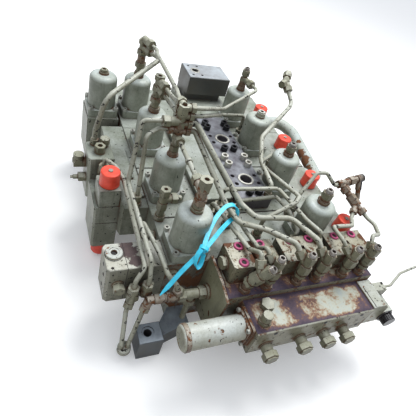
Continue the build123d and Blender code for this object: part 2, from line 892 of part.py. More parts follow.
# Arms of the stacks: height over the boss, direction, stages
stub_arm = [("round", 20, 18), ("hex", 24, 12)]
head_arm = [("round", 24, 30), ("hex", 27, 18)]
cap_arms = {
    "l2": [
        (96, (0.5, -0.85, 0), [("round", 24, 22), ("hex", 27, 16)]),
        (124, (0.35, -1, 0), head_arm),
    ],
    "l3": [(98, (0.15, -1, 0), head_arm), (76, (0.15, -1, 0), head_arm)],
    "l4": [
        (143, back, stub_arm),
        (125, back, stub_arm),
        (101, back, stub_arm),
        (56, front, stub_arm),
        (141, right, stub_arm),
        (119, right, stub_arm),
        (95, right, stub_arm),
        (73, right, stub_arm),
        (101, left, head_arm),
        (78, left, stub_arm),
    ],
    "l5": [(56, back, head_arm)],
    "r1": [(38, (0.3, -1, 0), head_arm)],
}
cap_stacks = [
    fitting((x, y, fitting_foot_z), up, cap_fittings[name], cap_arms.get(name, ()), mouth=12)
    for name, x, y in spool_places
]
write_group(cap_stacks, "cap_fittings")

cap_place = {name: (x, y) for name, x, y in spool_places}


def arm_tip(foot, way, arm):
    height, side, stages = arm
    return tuple(along(along(foot, way, height), side, stack_length(stages)))


def cap_arm_end(name, number):
    x, y = cap_place[name]
    arm = cap_arms[name][number]
    return arm_tip((x, y, fitting_foot_z), up, arm), arm[1]


def joined_pipe(start, end, middle, diameter, bend, start_lead=24, end_lead=24):
    # Leaves and enters its fittings straight, and passes the middle points between.
    points = [start[0], tuple(along(start[0], start[1], start_lead)), *middle]
    points += [tuple(along(end[0], end[1], end_lead)), end[0]]
    return pipe(points, diameter, bend)


# Fittings that stand on the casting and the blocks, with the free ends that take pipes
foot_stages = [("hex", 28, 12), ("round", 20, 10), ("hex", 24, 14)]
foot_length = stack_length(foot_stages)
pipe_fittings = []


def casting_foot(x, y, z):
    pipe_fittings.append(fitting((x, y, z), up, foot_stages))
    return (x, y, z + foot_length), up


# Left flank: elbows on the front face, plugs and stubs on the valve block
front_face_elbows = [
    (-372, 187, [("round", 26, 8), ("hex", 28, 22)]),
    (-406, 180, [("round", 24, 12), ("hex", 28, 22)]),
]
elbow_up = [("round", 22, 20), ("hex", 26, 18)]
elbow_down = [("round", 22, 18), ("hex", 24, 16)]
down_way = (-0.25, -0.25, -0.93)
front_ends = []
for x, z, stages in front_face_elbows:
    foot = (x, stack_front_y, z)
    arm = (24, up, elbow_up)
    arms = [arm, (24, down_way, elbow_down)] if x < -400 else [arm]
    pipe_fittings.append(fitting(foot, front, stages, arms))
    front_ends.append((arm_tip(foot, front, arm), up))
lower_end = (arm_tip((-406, stack_front_y, 180), front, (24, down_way, elbow_down)), down_way)

valve_top_z = 300
valve_nut = [("hex", 22, 20)]
pipe_fittings.append(fitting((-440, 173, valve_top_z), up, valve_nut))
valve_nut_end = ((-440, 173, valve_top_z + stack_length(valve_nut)), up)
pipe_fittings.append(fitting((-412, 165, valve_top_z), up, [("round", 22, 8), ("hex", 26, 20)]))
open_stub = [("round", 30, 6), ("hex", 28, 18)]
pipe_fittings.append(fitting((-430, 135, valve_top_z), up, open_stub, mouth=14))
stub_foot = (-424, 102, 258)
stub_arm_up = (16, up, [("round", 20, 16), ("hex", 26, 18)])
pipe_fittings.append(fitting(stub_foot, front, [("hex", 28, 20)], [stub_arm_up]))
stub_end = (arm_tip(stub_foot, front, stub_arm_up), up)
capped_arm = (20, up, [("hex", 30, 16), ("round", 30, 14)])
pipe_fittings.append(fitting((left_block_x, 150, 252), left, [("hex", 28, 34)], [capped_arm]))
nipple = [("round", 28, 8), ("hex", 26, 14), ("round", 14, 14), ("round", 8, 8)]
pipe_fittings.append(fitting((left_block_x, 128, 214), left, nipple))
pipe_fittings.append(fitting((-440, stack_front_y, 204), front, [("round", 30, 6), ("hex", 26, 18)]))
tall_side = (74, right, [("round", 22, 20), ("hex", 26, 16), ("round", 16, 12)])
tall_stages = [("hex", 28, 14), ("round", 22, 26), ("hex", 27, 24), ("round", 24, 22), ("hex", 26, 22)]
pipe_fittings.append(fitting((-306, -106, casting_top_z), up, tall_stages, [tall_side], mouth=10))
unit_side_x = unit_centres_x[0] - unit_width / 2
side_plug = [("round", 34, 4), ("hex", 30, 10)]
pipe_fittings.append(fitting((unit_side_x, -300, 296), left, side_plug))

# Tee line along the bracket plate, with its branch down and its elbow
tee_start = (pilot_left_x - 7, -311, 192)
tee_stages = [
    ("round", 40, 8),
    ("hex", 30, 20),
    ("round", 26, 36),
    ("hex", 30, 20),
    ("round", 22, 8),
    ("round", 26, 22),
    ("round", 22, 6),
    ("round", 26, 26),
    ("round", 22, 18),
]
tee_branch = (46, down, [("round", 24, 18), ("hex", 30, 20), ("round", 16, 74)])
tee_riser = (78, (-0.35, 0, 0.94), [("round", 18, 14), ("hex", 24, 16)])
tee_elbow_way = (-0.3, -0.2, -0.93)
tee_elbow = (158, tee_elbow_way, [("round", 24, 20), ("hex", 24, 14)])
tee_arms = [tee_branch, tee_riser, tee_elbow]
write(fitting(tee_start, left, tee_stages, tee_arms), "tee_line")
tee_riser_end = (arm_tip(tee_start, left, tee_riser), tee_riser[1])
tee_elbow_end = (arm_tip(tee_start, left, tee_elbow), tee_elbow_way)

# Pipes of the left flank
left_pipes = []
head_end = cap_arm_end("l2", 0)
over_cap = [(-420, 166, 460)]
left_pipes.append(joined_pipe(head_end, valve_nut_end, over_cap, heavy_pipe, 45, 42, 30))
flank_route = [(-364, 2, 501), (-391, -54, 350), (-370, -264, 290)]
flank_start = cap_arm_end("l4", 8)
left_pipes.append(joined_pipe(flank_start, front_ends[0], flank_route, middle_pipe, middle_bend))
inner_end = casting_foot(-356, -44, 258)
inner_route = [(-352, -16, 470)]
inner_start = cap_arm_end("l4", 9)
left_pipes.append(joined_pipe(inner_start, inner_end, inner_route, middle_pipe, middle_bend))
outer_route = [(-396, 60, 306), (-381, 20, 292), (-384, -272, 276)]
left_pipes.append(joined_pipe(stub_end, front_ends[1], outer_route, middle_pipe, middle_bend))
side_foot = (casting_left_x, -140, 232)
side_stages = [("hex", 26, 14), ("round", 18, 10)]
pipe_fittings.append(fitting(side_foot, left, side_stages))
side_end = (tuple(along(side_foot, left, stack_length(side_stages))), left)
short_route = [(-366, -146, 300), (-343, -240, 284), (-334, -296, 270)]
left_pipes.append(joined_pipe(side_end, tee_riser_end, short_route, middle_pipe, 14, 18, 22))
v_joint_z = 36
v_joint = fitting((-420, -345, v_joint_z - 14), up, [("round", 36, 14)])
for start, x in ((tee_elbow_end, -411), (lower_end, -429)):
    foot = (x, -345, v_joint_z)
    left_pipes.append(joined_pipe(start, (foot, up), [], middle_pipe, 12, 14, 14))
left_pipes.append(v_joint)
write_group(left_pipes, "left_pipes")

# Pipes over the middle of the block
centre_pipes = []
rear_link = [(-257, 300, 538), (-262, 80, 546)]
centre_pipes.append(
    joined_pipe(cap_arm_end("l2", 1), cap_arm_end("l4", 0), rear_link, middle_pipe, middle_bend)
)
for number in (0, 1):
    start = cap_arm_end("l3", number)
    end = cap_arm_end("l4", number + 1)
    centre_pipes.append(joined_pipe(start, end, [], middle_pipe, middle_bend))
straight_start = cap_arm_end("l4", 3)[0]
straight_run = Vector(*cap_arm_end("l5", 0)[0]) - Vector(*straight_start)
straight_stages = [("round", middle_pipe, 70), ("round", middle_pipe + 6, 8)]
straight_rest = straight_run.length - stack_length(straight_stages)
straight_stages.append(("round", middle_pipe, straight_rest))
centre_pipes.append(fitting(straight_start, straight_run, straight_stages))
long_routes = [
    (6, 3, [(-119, -176, 372), (-92, -222, 366), (18, -228, 361)], heavy_pipe, heavy_bend),
    (7, 2, [(-160, -166, 368), (-140, -222, 353), (-64, -247, 345)], heavy_pipe, heavy_bend),
]
for arm_number, elbow_number, route, diameter, bend in long_routes:
    start = cap_arm_end("l4", arm_number)
    end = elbow_pipe_ends[elbow_number]
    centre_pipes.append(joined_pipe(start, end, route, diameter, bend, 16, 20))
under_routes = [
    (0, (-165, -118), [(-147, -226, 330), (-138, -300, 340)]),
    (1, (-118, -150), [(-113, -226, 326), (-112, -300, 340)]),
]
for elbow_number, (x, y), route in under_routes:
    start = casting_foot(x, y, casting_top_z)
    end = elbow_pipe_ends[elbow_number]
    centre_pipes.append(joined_pipe(start, end, route, middle_pipe, 14, 28, 16))
write_group(centre_pipes, "centre_pipes")

# Pipes of the right half
right_pipes = []
# The two links from the left bank stay clear of whatever stands on the rear deck port
link_route = [(-8, 252, 396)]
link_start = cap_arm_end("r1", 0)
right_pipes.append(
    joined_pipe(link_start, cap_arm_end("l4", 4), link_route, middle_pipe, 26, 30)
)
low_end = casting_foot(98, 279, casting_top_z)
low_route = [(3, 270, 362), (97, 278, 358)]
right_pipes.append(joined_pipe(cap_arm_end("l4", 5), low_end, low_route, middle_pipe, 16))
upper_start = casting_foot(-130, -96, casting_top_z)
upper_end = ((88, -286, casting_top_z + unit_height + 12), up)
pipe_fittings.append(fitting((88, -286, casting_top_z + unit_height), up, [("hex", 22, 12)]))
upper_route = [(46, -101, 352), (56, -181, 358), (62, -240, 362), (84, -280, 358)]
right_pipes.append(joined_pipe(upper_start, upper_end, upper_route, middle_pipe, 14, 54, 18))
lower_start = casting_foot(-76, -112, casting_top_z)
lower_route = [(50, -105, 322), (64, -158, 322), (54, -238, 322)]
lower_pipe_end = casting_foot(48, -246, casting_top_z)
right_pipes.append(joined_pipe(lower_start, lower_pipe_end, lower_route, middle_pipe, 9, 22, 14))
slant_start = casting_foot(140, 96, casting_top_z)
slant_end = casting_foot(-44, -200, casting_top_z)
slant_route = [(58, 36, 338), (62, -20, 345), (76, -163, 376), (50, -186, 376)]
right_pipes.append(joined_pipe(slant_start, slant_end, slant_route, middle_pipe, 12, 30, 34))
deck_nut = (42, -76, deck_z)
pipe_fittings.append(fitting(deck_nut, up, [("hex", 22, 14)]))
tall_route = [(78, 110, 384), (44, 22, 357)]
tall_end = ((42, -76, deck_z + 14), up)
cluster_foot = (240, 280, 464)
cluster_way = (0.08, -0.85, -0.52)
right_pipes.append(
    joined_pipe((cluster_foot, cluster_way), tall_end, tall_route, heavy_pipe, 45, 50, 26)
)
cluster_stages = [("hex", 28, 18), ("round", 24, 16), ("hex", 26, 14)]
cluster_arms = [(38, (-0.8, -0.55, -0.1), [("round", 22, 18), ("hex", 25, 16)])]
cluster_arms.append((40, (0.5, 0.8, 0.35), [("round", 22, 18), ("hex", 28, 24), ("round", 20, 6)]))
pipe_fittings.append(fitting(cluster_foot, (-0.08, 0.85, 0.52), cluster_stages, cluster_arms))

# Rusty fittings at the right, carried by the pipes that end in them
junction = (240, -125, 382)
junction_way = (0.97, 0.15, 0.1)
junction_stages = [("hex", 24, 16), ("round", 22, 30), ("hex", 27, 22), ("round", 20, 14)]
junction_length = stack_length(junction_stages) + 12
junction_stages.append(("round", 26, 24))
chain_way = (0.42, -0.82, -0.38)
chain_stages = [("round", 20, 14), ("hex", 26, 18), ("round", 20, 12), ("hex", 26, 20)]
chain_arm = (14, chain_way, chain_stages)
spout_way = (0.0, -0.55, -0.83)
spout_arm = (junction_length, spout_way, [("round", 20, 36), ("round", 16, 30)])
pipe_fittings.append(fitting(junction, junction_way, junction_stages, [chain_arm, spout_arm]))
chain_end = (arm_tip(junction, junction_way, chain_arm), chain_way)
tee_block = [("hex", 27, 20)]
long_arm = (12, (0.3, -0.93, -0.2), [("round", 18, 22), ("hex", 24, 16)])
short_arm = (12, (-0.6, -0.7, -0.35), [("round", 18, 22), ("hex", 22, 14)])
pipe_fittings.append(fitting(chain_end[0], chain_way, tee_block, [long_arm, short_arm]))
last_route = [(312, -262, 342), (292, -304, 346)]
last_ends = [(arm_tip(chain_end[0], chain_way, arm), arm[1]) for arm in (long_arm, short_arm)]
fifth_route = [(222, -262, 346), (146, -262, 350)]
arch_start = casting_foot(112, -126, casting_top_z)
arch_route = [(168, -94, 404), (204, -96, 404)]
arch_end = (junction, (-0.97, -0.15, -0.1))
right_pipes.append(joined_pipe(arch_start, arch_end, arch_route, middle_pipe, 14, 50, 14))
right_pipes.append(
    joined_pipe(last_ends[0], elbow_pipe_ends[5], last_route, middle_pipe, 14, 18, 18)
)
right_pipes.append(
    joined_pipe(last_ends[1], elbow_pipe_ends[4], fifth_route, middle_pipe, 14, 18, 18)
)
write_group(right_pipes, "right_pipes")
write_group(pipe_fittings, "pipe_fittings")

# Large return tube on the right flank with a flange at each end
tube_z = 225
tube_ends_y = [84, 452]
flange_thickness = 14
tube_points = [
    (casting_right_x + flange_thickness, tube_ends_y[1], tube_z),
    (casting_right_x + 96, tube_ends_y[1], tube_z),
    (casting_right_x + 122, 372, tube_z),
    (casting_right_x + 70, tube_ends_y[0], tube_z),
    (casting_right_x + flange_thickness, tube_ends_y[0], tube_z),
]
return_tube = [pipe(tube_points, 2 * return_tube_radius, return_tube_bend)]
for y in tube_ends_y:
    flange = [("round", 2 * return_flange_radius, flange_thickness)]
    return_tube.append(fitting((casting_right_x, y, tube_z), right, flange))
write_group(return_tube, "return_tube")

# Flat cover plates on the left flank and beside the left caps
cover_boxes = [
    (-388, -340, 60, 200, 258, 266),
    (-356, -326, -20, 50, 258, 266),
    (-172, -62, -60, 330, casting_top_z, casting_top_z + 18),
]
cover_plates = []
for left_x, right_x, front_y, rear_y, low_z, high_z in cover_boxes:
    with BuildPart() as cover_plate:
        with BuildSketch(level(low_z)):
            with Locations(((left_x + right_x) / 2, (front_y + rear_y) / 2)):
                RectangleRounded(right_x - left_x, rear_y - front_y, 3)
        extrude(amount=high_z - low_z)
        chamfer(cover_plate.edges().group_by(Axis.Z)[-1], 1.5)
    cover_plates.append(cover_plate.part)
write_group(cover_plates, "cover_plates")
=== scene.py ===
import math

import bmesh
import bpy
from mathutils import Matrix, Vector


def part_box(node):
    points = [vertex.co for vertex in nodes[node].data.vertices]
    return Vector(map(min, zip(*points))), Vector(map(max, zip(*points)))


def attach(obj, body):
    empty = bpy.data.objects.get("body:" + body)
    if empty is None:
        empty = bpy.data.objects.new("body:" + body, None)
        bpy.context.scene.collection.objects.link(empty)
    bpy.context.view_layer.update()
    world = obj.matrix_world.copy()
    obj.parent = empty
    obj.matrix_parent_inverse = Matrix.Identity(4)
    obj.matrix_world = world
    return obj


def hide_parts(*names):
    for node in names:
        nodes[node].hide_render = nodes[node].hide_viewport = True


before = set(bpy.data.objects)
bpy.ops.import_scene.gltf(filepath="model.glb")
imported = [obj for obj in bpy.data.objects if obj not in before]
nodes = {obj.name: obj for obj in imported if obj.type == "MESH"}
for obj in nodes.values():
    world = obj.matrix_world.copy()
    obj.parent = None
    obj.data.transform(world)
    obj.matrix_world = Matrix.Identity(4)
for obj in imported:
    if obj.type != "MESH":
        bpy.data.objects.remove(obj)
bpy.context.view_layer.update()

print("frame loaded:", len(nodes), "nodes")


# Colours and node helper

def hexColour(code):
    channels = [int(code[i:i + 2], 16) / 255 for i in (1, 3, 5)]
    linear = [c / 12.92 if c <= 0.04045 else ((c + 0.055) / 1.055) ** 2.4 for c in channels]
    return (*linear, 1)


def addNode(tree, kind, inputs=(), **settings):
    # inputs: sources in socket order, or {socket: source}.
    # A source is a node, a node's output, a hex colour or a value.
    # A Mix node of colours has its share in socket 0 and its two colours in 6 and 7.
    node = tree.nodes.new("ShaderNode" + kind)
    for name, value in settings.items():
        setattr(node, name, value)
    for socket, source in inputs.items() if isinstance(inputs, dict) else enumerate(inputs):
        if isinstance(source, bpy.types.Node):
            source = next(output for output in source.outputs if output.enabled)
        if isinstance(source, bpy.types.NodeSocket):
            tree.links.new(source, node.inputs[socket])
        else:
            node.inputs[socket].default_value = hexColour(source) if isinstance(source, str) else source
    return node


def perMetre(millimetres):
    return 1000 / millimetres  # texture scale whose features are this many millimetres across


def newMaterial(name):
    material = bpy.data.materials.new(name)
    material.use_nodes = True
    material.node_tree.nodes.clear()
    return material, material.node_tree


# What the finishes follow: the place on the object, its edges, its corners and the way to the sky

def objectPlace(tree, shift=0.0, stretch=(1, 1, 1)):
    where = addNode(tree, "TexCoord").outputs["Object"]
    return addNode(tree, "Mapping", {"Vector": where, "Location": (shift,) * 3, "Scale": stretch})


def edgeWear(tree, millimetres):
    # 1 on outer edges and corners, 0 on flat stretches, from the angle between faces
    soft = addNode(tree, "Bevel", {"Radius": millimetres / 1000}, samples=4)
    hard = addNode(tree, "NewGeometry").outputs["Normal"]
    flat = addNode(tree, "VectorMath", [soft, hard], operation="DOT_PRODUCT")
    return addNode(tree, "Math", [1.0, flat], operation="SUBTRACT", use_clamp=True)


def crevice(tree, millimetres):
    # 1 in inner corners and seams
    shade = addNode(tree, "AmbientOcclusion", {"Distance": millimetres / 1000}, samples=8)
    return addNode(tree, "Math", [1.0, shade.outputs["AO"]], operation="SUBTRACT", use_clamp=True)


def facingUp(tree, low, high):
    # 0 on walls, 1 on faces that look at the sky
    normal = addNode(tree, "NewGeometry").outputs["Normal"]
    height = addNode(tree, "SeparateXYZ", [normal]).outputs["Z"]
    return addNode(tree, "MapRange", [height, low, high])


# Finishes. A noise stays mostly between 0.3 and 0.7, so the thresholds lie there.

paintLook = {
    "top": "#C9D1CC",         # painted light: the paint on faces that look up at the sky, paler than on the walls
    "topDull": "#AEB5A9",
    # painted shade: the paint on upright faces, darker than on top
    "wall": "#9DA091",
    "wallDull": "#777968",
    # dark colour for the oil and dust in corners and down the walls, and for the painted shade in the
    # corners
    "grimeAndShade": "#45433A",
    "rust": "#8B5A34",
    "deepRust": "#3B261C",
    "chipDark": "#211C19",
    "blotch": 80,             # this and the other sizes are in millimetres
    "grain": 5,               # the real grain is under 1 mm: drawn coarser, so that it shows
    "chipSize": 11,
    "patchSize": 70,
    "chips": 0.5,             # this and the next four: from 0, none, to about 1, much
    "edges": 0.5,
    "bleed": 0.5,
    "patches": 0.3,
    "dirt": 0.5,
    "gloss": 0.42,            # roughness of sound paint
    "rustRoughness": 0.85,
    "shift": 0.0,             # moves the patterns, so that two paints don't match
    "scabs": (),              # rust at one place: (point, radius)
    # how far from a corner the oil and the painted shade reach
    "dirtReach": 60,
    "dustScale": 30,
    "runScale": 13,
    "runStretch": 0.12,       # the pattern's scale along the height, so low that it draws streaks
    "bleedReach": 13,
    "bleedScale": 22,
    "stainScale": 16,
    "edgeRadius": 3.5,
    "edgeScale": 2.2,         # times the chips' size
    "scabScale": 14,
    "rustScale": 9,
    "bumpDepth": 1,
    "speckShare": 0.35,       # this and the next three: how strongly each layer covers the paint
    "oilAndShadeShare": 0.85,
    "runShare": 0.45,
    "bleedShare": 0.9,
}


def agedPaint(name, **changes):
    # Sprayed alkyd enamel on cast iron: pale where it looks up and olive on the walls, as painted light and
    # shade, with oil and painted shade in the corners, chipped to near-black iron, with brown rust that
    # bleeds out of every joint
    look = dict(paintLook, **changes)
    material, tree = newMaterial(name)
    at = objectPlace(tree, look["shift"])
    streaked = objectPlace(tree, look["shift"], (1, 1, look["runStretch"]))
    pattern = {}
    for part, place, millimetres, detail, roughness in (
        ("blotch", at, look["blotch"], 5, 0.65),
        ("grain", at, look["grain"], 6, 0.7),
        ("dustAndShade", at, look["dustScale"], 6, 0.7),
        ("runs", streaked, look["runScale"], 5, 0.6),
        ("bleed", at, look["bleedScale"], 6, 0.7),
        ("stain", at, look["stainScale"], 6, 0.7),
        ("chips", at, look["chipSize"], 3, 0.55),
        ("edges", at, look["chipSize"] * look["edgeScale"], 8, 0.75),
        ("patches", at, look["patchSize"], 9, 0.72),
        ("scabs", at, look["scabScale"], 8, 0.75),
        ("rust", at, look["rustScale"], 8, 0.75),
    ):
        pattern[part] = addNode(tree, "TexNoise", {
            "Vector": place, "Scale": perMetre(millimetres), "Detail": detail, "Roughness": roughness,
        })

    # painted light and shade: faces that look up take the top colours, upright faces the darker wall
    # colours
    sky = facingUp(tree, 0.15, 0.8)
    dull = addNode(tree, "MapRange", [pattern["blotch"], 0.36, 0.64])
    wall = addNode(tree, "Mix", {0: dull, 6: look["wall"], 7: look["wallDull"]}, data_type="RGBA")
    top = addNode(tree, "Mix", {0: dull, 6: look["top"], 7: look["topDull"]}, data_type="RGBA")
    base = addNode(tree, "Mix", {0: sky, 6: wall, 7: top}, data_type="RGBA")

    # corners darken with oil and dust and with painted shade, and grime runs down the walls
    speckled = addNode(tree, "MapRange", [pattern["grain"], 0.45, 0.85, 0.0, look["speckShare"]])
    dusty = addNode(tree, "Math", [pattern["dustAndShade"], 0.55], operation="ADD")
    cornerOilAndShade = addNode(tree, "Math", [crevice(tree, look["dirtReach"]), dusty], operation="MULTIPLY")
    oilShadeFrom, oilShadeTo = 0.50 - 0.3 * look["dirt"], 1.0 - 0.25 * look["dirt"]
    oilAndShade = addNode(tree, "MapRange", [cornerOilAndShade, oilShadeFrom, oilShadeTo, 0.0, look["oilAndShadeShare"]])
    runFrom = 0.60 - 0.06 * look["dirt"]
    running = addNode(tree, "MapRange", [pattern["runs"], runFrom, runFrom + 0.14, 0.0, look["runShare"]])
    onWalls = addNode(tree, "Math", [1.0, sky], operation="SUBTRACT", use_clamp=True)
    running = addNode(tree, "Math", [running, onWalls], operation="MULTIPLY")

    # brown rust bleeds from the joints
    weeping = addNode(tree, "Math", [pattern["bleed"], 0.35], operation="ADD")
    weeping = addNode(tree, "Math", [crevice(tree, look["bleedReach"]), weeping], operation="MULTIPLY")
    bleedFrom = 0.62 - 0.5 * look["bleed"]
    bled = addNode(tree, "MapRange", [weeping, bleedFrom, bleedFrom + 0.22])
    bledShare = addNode(tree, "Math", [bled, look["bleedShare"]], operation="MULTIPLY")
    stain = {0: pattern["stain"], 6: look["deepRust"], 7: look["rust"]}
    stain = addNode(tree, "Mix", stain, data_type="RGBA")

    # chips down to dark iron, with rust patches on the worst stretches
    chipFrom = 0.74 - 0.12 * look["chips"]
    chipped = addNode(tree, "MapRange", [pattern["chips"], chipFrom, chipFrom + 0.012])
    edges = [edgeWear(tree, look["edgeRadius"]), pattern["edges"]]
    edges = addNode(tree, "Math", edges, operation="MULTIPLY")
    edgeFrom = 0.26 - 0.24 * look["edges"]
    edges = addNode(tree, "MapRange", [edges, edgeFrom, edgeFrom + 0.05])
    patchFrom = 0.78 - 0.3 * look["patches"]
    patched = addNode(tree, "MapRange", [pattern["patches"], patchFrom, patchFrom + 0.05])
    for place, radius in look["scabs"]:
        # ragged, and strongest at its middle
        middle = [length / 1000 for length in place]
        far = addNode(tree, "VectorMath", [objectPlace(tree), middle], operation="DISTANCE")
        far = addNode(tree, "Math", [far, perMetre(radius)], operation="MULTIPLY")
        strength = addNode(tree, "MapRange", [far, 1.0, 0.25, 0.0, 0.6])
        ragged = addNode(tree, "Math", [pattern["scabs"], 0.8, strength], operation="MULTIPLY_ADD")
        scab = addNode(tree, "MapRange", [ragged, 0.78, 0.83])
        patched = addNode(tree, "Math", [patched, scab], operation="MAXIMUM")
    bare = addNode(tree, "Math", [chipped, edges], operation="MAXIMUM")
    bare = addNode(tree, "Math", [bare, patched], operation="MAXIMUM", use_clamp=True)
    rust = {0: pattern["rust"], 6: look["deepRust"], 7: look["rust"]}
    rust = addNode(tree, "Mix", rust, data_type="RGBA")
    iron = addNode(tree, "Mix", {0: patched, 6: look["chipDark"], 7: rust}, data_type="RGBA")

    # from the paint up: (share of the surface, colour)
    for share, colour in ((speckled, look["grimeAndShade"]), (oilAndShade, look["grimeAndShade"]), (running, look["grimeAndShade"]),
                          (bledShare, stain), (bare, iron)):
        base = addNode(tree, "Mix", {0: share, 6: base, 7: colour}, data_type="RGBA")
    rough = addNode(tree, "Math", [bare, bled], operation="MAXIMUM")
    rough = addNode(tree, "MapRange", [rough, 0.0, 1.0, look["gloss"], look["rustRoughness"]])
    grain = addNode(tree, "Math", [pattern["grain"], 0.4], operation="MULTIPLY")
    height = addNode(tree, "Math", [grain, bare], operation="SUBTRACT")
    bump = addNode(tree, "Bump", {"Height": height, "Strength": 0.4, "Distance": look["bumpDepth"] / 1000})
    shader = addNode(tree, "BsdfPrincipled", {"Base Color": base, "Roughness": rough, "Normal": bump})
    addNode(tree, "OutputMaterial", [shader])
    return material


metalLook = {
    "light": "#B5B6AE",
    "dark": "#85867C",
    "wall": "",               # painted shade: a darker colour in place of the light one on upright faces, where it differs
    "stain": "#5A3522",
    "roughness": 0.4,
    "metallic": 0.75,
    "film": 20,               # this and the next two are in millimetres
    "freckle": 12,            # real freckles are 1 to 3 mm: drawn coarser, so that they show
    "stainReach": 14,
    "rust": 0.2,              # from 0, none, to 1, much
}


def plainMetal(name, **changes):
    # Bare steel: darkened by an oil film, freckled with rust where the film broke
    look = dict(metalLook, **changes)
    material, tree = newMaterial(name)
    at = objectPlace(tree)
    filmNoise = {"Vector": at, "Scale": perMetre(look["film"]), "Detail": 6, "Roughness": 0.65}
    film = addNode(tree, "MapRange", [addNode(tree, "TexNoise", filmNoise), 0.3, 0.7])
    base = addNode(tree, "Mix", {0: film, 6: look["dark"], 7: look["light"]}, data_type="RGBA")
    # painted shade: upright faces take the darker wall colour in place of the light one
    if look["wall"]:
        wall = addNode(tree, "Mix", {0: film, 6: look["dark"], 7: look["wall"]}, data_type="RGBA")
        base = addNode(tree, "Mix", {0: facingUp(tree, 0.3, 0.9), 6: wall, 7: base}, data_type="RGBA")
    freckleNoise = {"Vector": at, "Scale": perMetre(look["freckle"]), "Detail": 8, "Roughness": 0.75}
    corners = crevice(tree, look["stainReach"])
    freckle = addNode(tree, "Math", [corners, 0.25, addNode(tree, "TexNoise", freckleNoise)],
                      operation="MULTIPLY_ADD")
    freckleFrom = 0.76 - 0.22 * look["rust"]
    freckle = addNode(tree, "MapRange", [freckle, freckleFrom, freckleFrom + 0.08])
    base = addNode(tree, "Mix", {0: freckle, 6: base, 7: look["stain"]}, data_type="RGBA")
    smooth, coarse = look["roughness"] * 0.8, min(1, look["roughness"] * 1.3)
    rough = addNode(tree, "MapRange", [film, 0.0, 1.0, smooth, coarse])
    shader = {"Base Color": base, "Roughness": rough, "Metallic": look["metallic"]}
    addNode(tree, "OutputMaterial", [addNode(tree, "BsdfPrincipled", shader)])
    return material


peelLook = {
    "share": 0.5,             # how much paint is left
    "shift": 2.3,
    "border": 16,             # width of the bare rim, in millimetres
    # size in millimetres, detail, roughness, weight
    "patterns": ((95, 3, 0.5, 0.50), (26, 6, 0.7, 0.30), (7, 6, 0.75, 0.20)),
    "speckSize": 5,           # real specks are about 1 mm: drawn coarser, so that they show
    "speck": "#80543A",
    "paintRoughness": 0.45,
    "scaleRoughness": 0.72,
    "paintThickness": 0.8,
    # distance from the paint's edge, in the pattern's own height, and the colour there
    "tones": ((-0.14, "#3B3040"), (-0.055, "#574650"), (-0.025, "#6E4E3F"), (-0.005, "#9A7B62"),
              (0.014, "#A69B84"), (0.05, "#B2B5A6"), (0.11, "#A6AFA9")),
}


def peelingPaint(name, node, **changes):
    # Enamel that has let go in sheets: violet-brown mill scale, rust-mottled rims,
    # and islands of off-white paint left
    look = dict(peelLook, **changes)
    material, tree = newMaterial(name)
    at = objectPlace(tree, look["shift"])
    height = 0.0
    for millimetres, detail, roughness, weight in look["patterns"]:
        field = {"Vector": at, "Scale": perMetre(millimetres), "Detail": detail, "Roughness": roughness}
        height = addNode(tree, "Math", [addNode(tree, "TexNoise", field), weight, height],
                         operation="MULTIPLY_ADD")
    spot = addNode(tree, "SeparateXYZ", [objectPlace(tree)])
    low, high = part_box(node)
    inset = 1.0
    for axis in (0, 1):
        fromLow = addNode(tree, "Math", [spot.outputs[axis], low[axis]], operation="SUBTRACT")
        fromHigh = addNode(tree, "Math", [high[axis], spot.outputs[axis]], operation="SUBTRACT")
        inset = addNode(tree, "Math", [inset, fromLow], operation="MINIMUM")
        inset = addNode(tree, "Math", [inset, fromHigh], operation="MINIMUM")
    rim = addNode(tree, "MapRange", [inset, look["border"] / 1000, 0.0, 0.0, 0.16])
    height = addNode(tree, "Math", [height, rim], operation="SUBTRACT")
    edge = 0.62 - 0.24 * look["share"]
    tones = addNode(tree, "ValToRGB", [height])
    band = tones.color_ramp.elements
    while len(band) < len(look["tones"]):
        band.new(0.5)
    for element, (place, colour) in zip(band, look["tones"]):
        element.position = edge + place
        element.color = hexColour(colour)
    speckNoise = {"Vector": at, "Scale": perMetre(look["speckSize"]), "Detail": 5, "Roughness": 0.7}
    speck = addNode(tree, "MapRange", [addNode(tree, "TexNoise", speckNoise), 0.6, 0.66, 0.0, 0.55])
    base = addNode(tree, "Mix", {0: speck, 6: tones, 7: look["speck"]}, data_type="RGBA")
    paint = addNode(tree, "MapRange", [height, edge, edge + 0.02])
    rough = addNode(tree, "MapRange", [paint, 0.0, 1.0, look["scaleRoughness"], look["paintRoughness"]])
    thickness = look["paintThickness"] / 1000
    bump = addNode(tree, "Bump", {"Height": paint, "Strength": 0.5, "Distance": thickness})
    shader = addNode(tree, "BsdfPrincipled", {"Base Color": base, "Roughness": rough, "Normal": bump})
    addNode(tree, "OutputMaterial", [shader])
    return material


plasticLook = {
    "light": "#A9A79C",
    "dark": "#7F7C72",
    "dustAndShade": "#3A2420",
    "roughness": 0.42,
    "patch": 16,              # this and the next one are in millimetres
    "corner": 8,
}


def mouldedPlastic(name, **changes):
    # Injection-moulded plastic or rubber: even colour with sun-bleached patches, and dust and painted shade
    # in its corners
    look = dict(plasticLook, **changes)
    material, tree = newMaterial(name)
    at = objectPlace(tree)
    patchNoise = {"Vector": at, "Scale": perMetre(look["patch"]), "Detail": 6, "Roughness": 0.7}
    patch = addNode(tree, "MapRange", [addNode(tree, "TexNoise", patchNoise), 0.35, 0.65])
    base = addNode(tree, "Mix", {0: patch, 6: look["dark"], 7: look["light"]}, data_type="RGBA")
    # dust and painted shade darken the inner corners
    corners = addNode(tree, "Math", [crevice(tree, look["corner"]), 0.5], operation="MULTIPLY")
    base = addNode(tree, "Mix", {0: corners, 6: base, 7: look["dustAndShade"]}, data_type="RGBA")
    shader = addNode(tree, "BsdfPrincipled", {"Base Color": base, "Roughness": look["roughness"]})
    addNode(tree, "OutputMaterial", [shader])
    return material


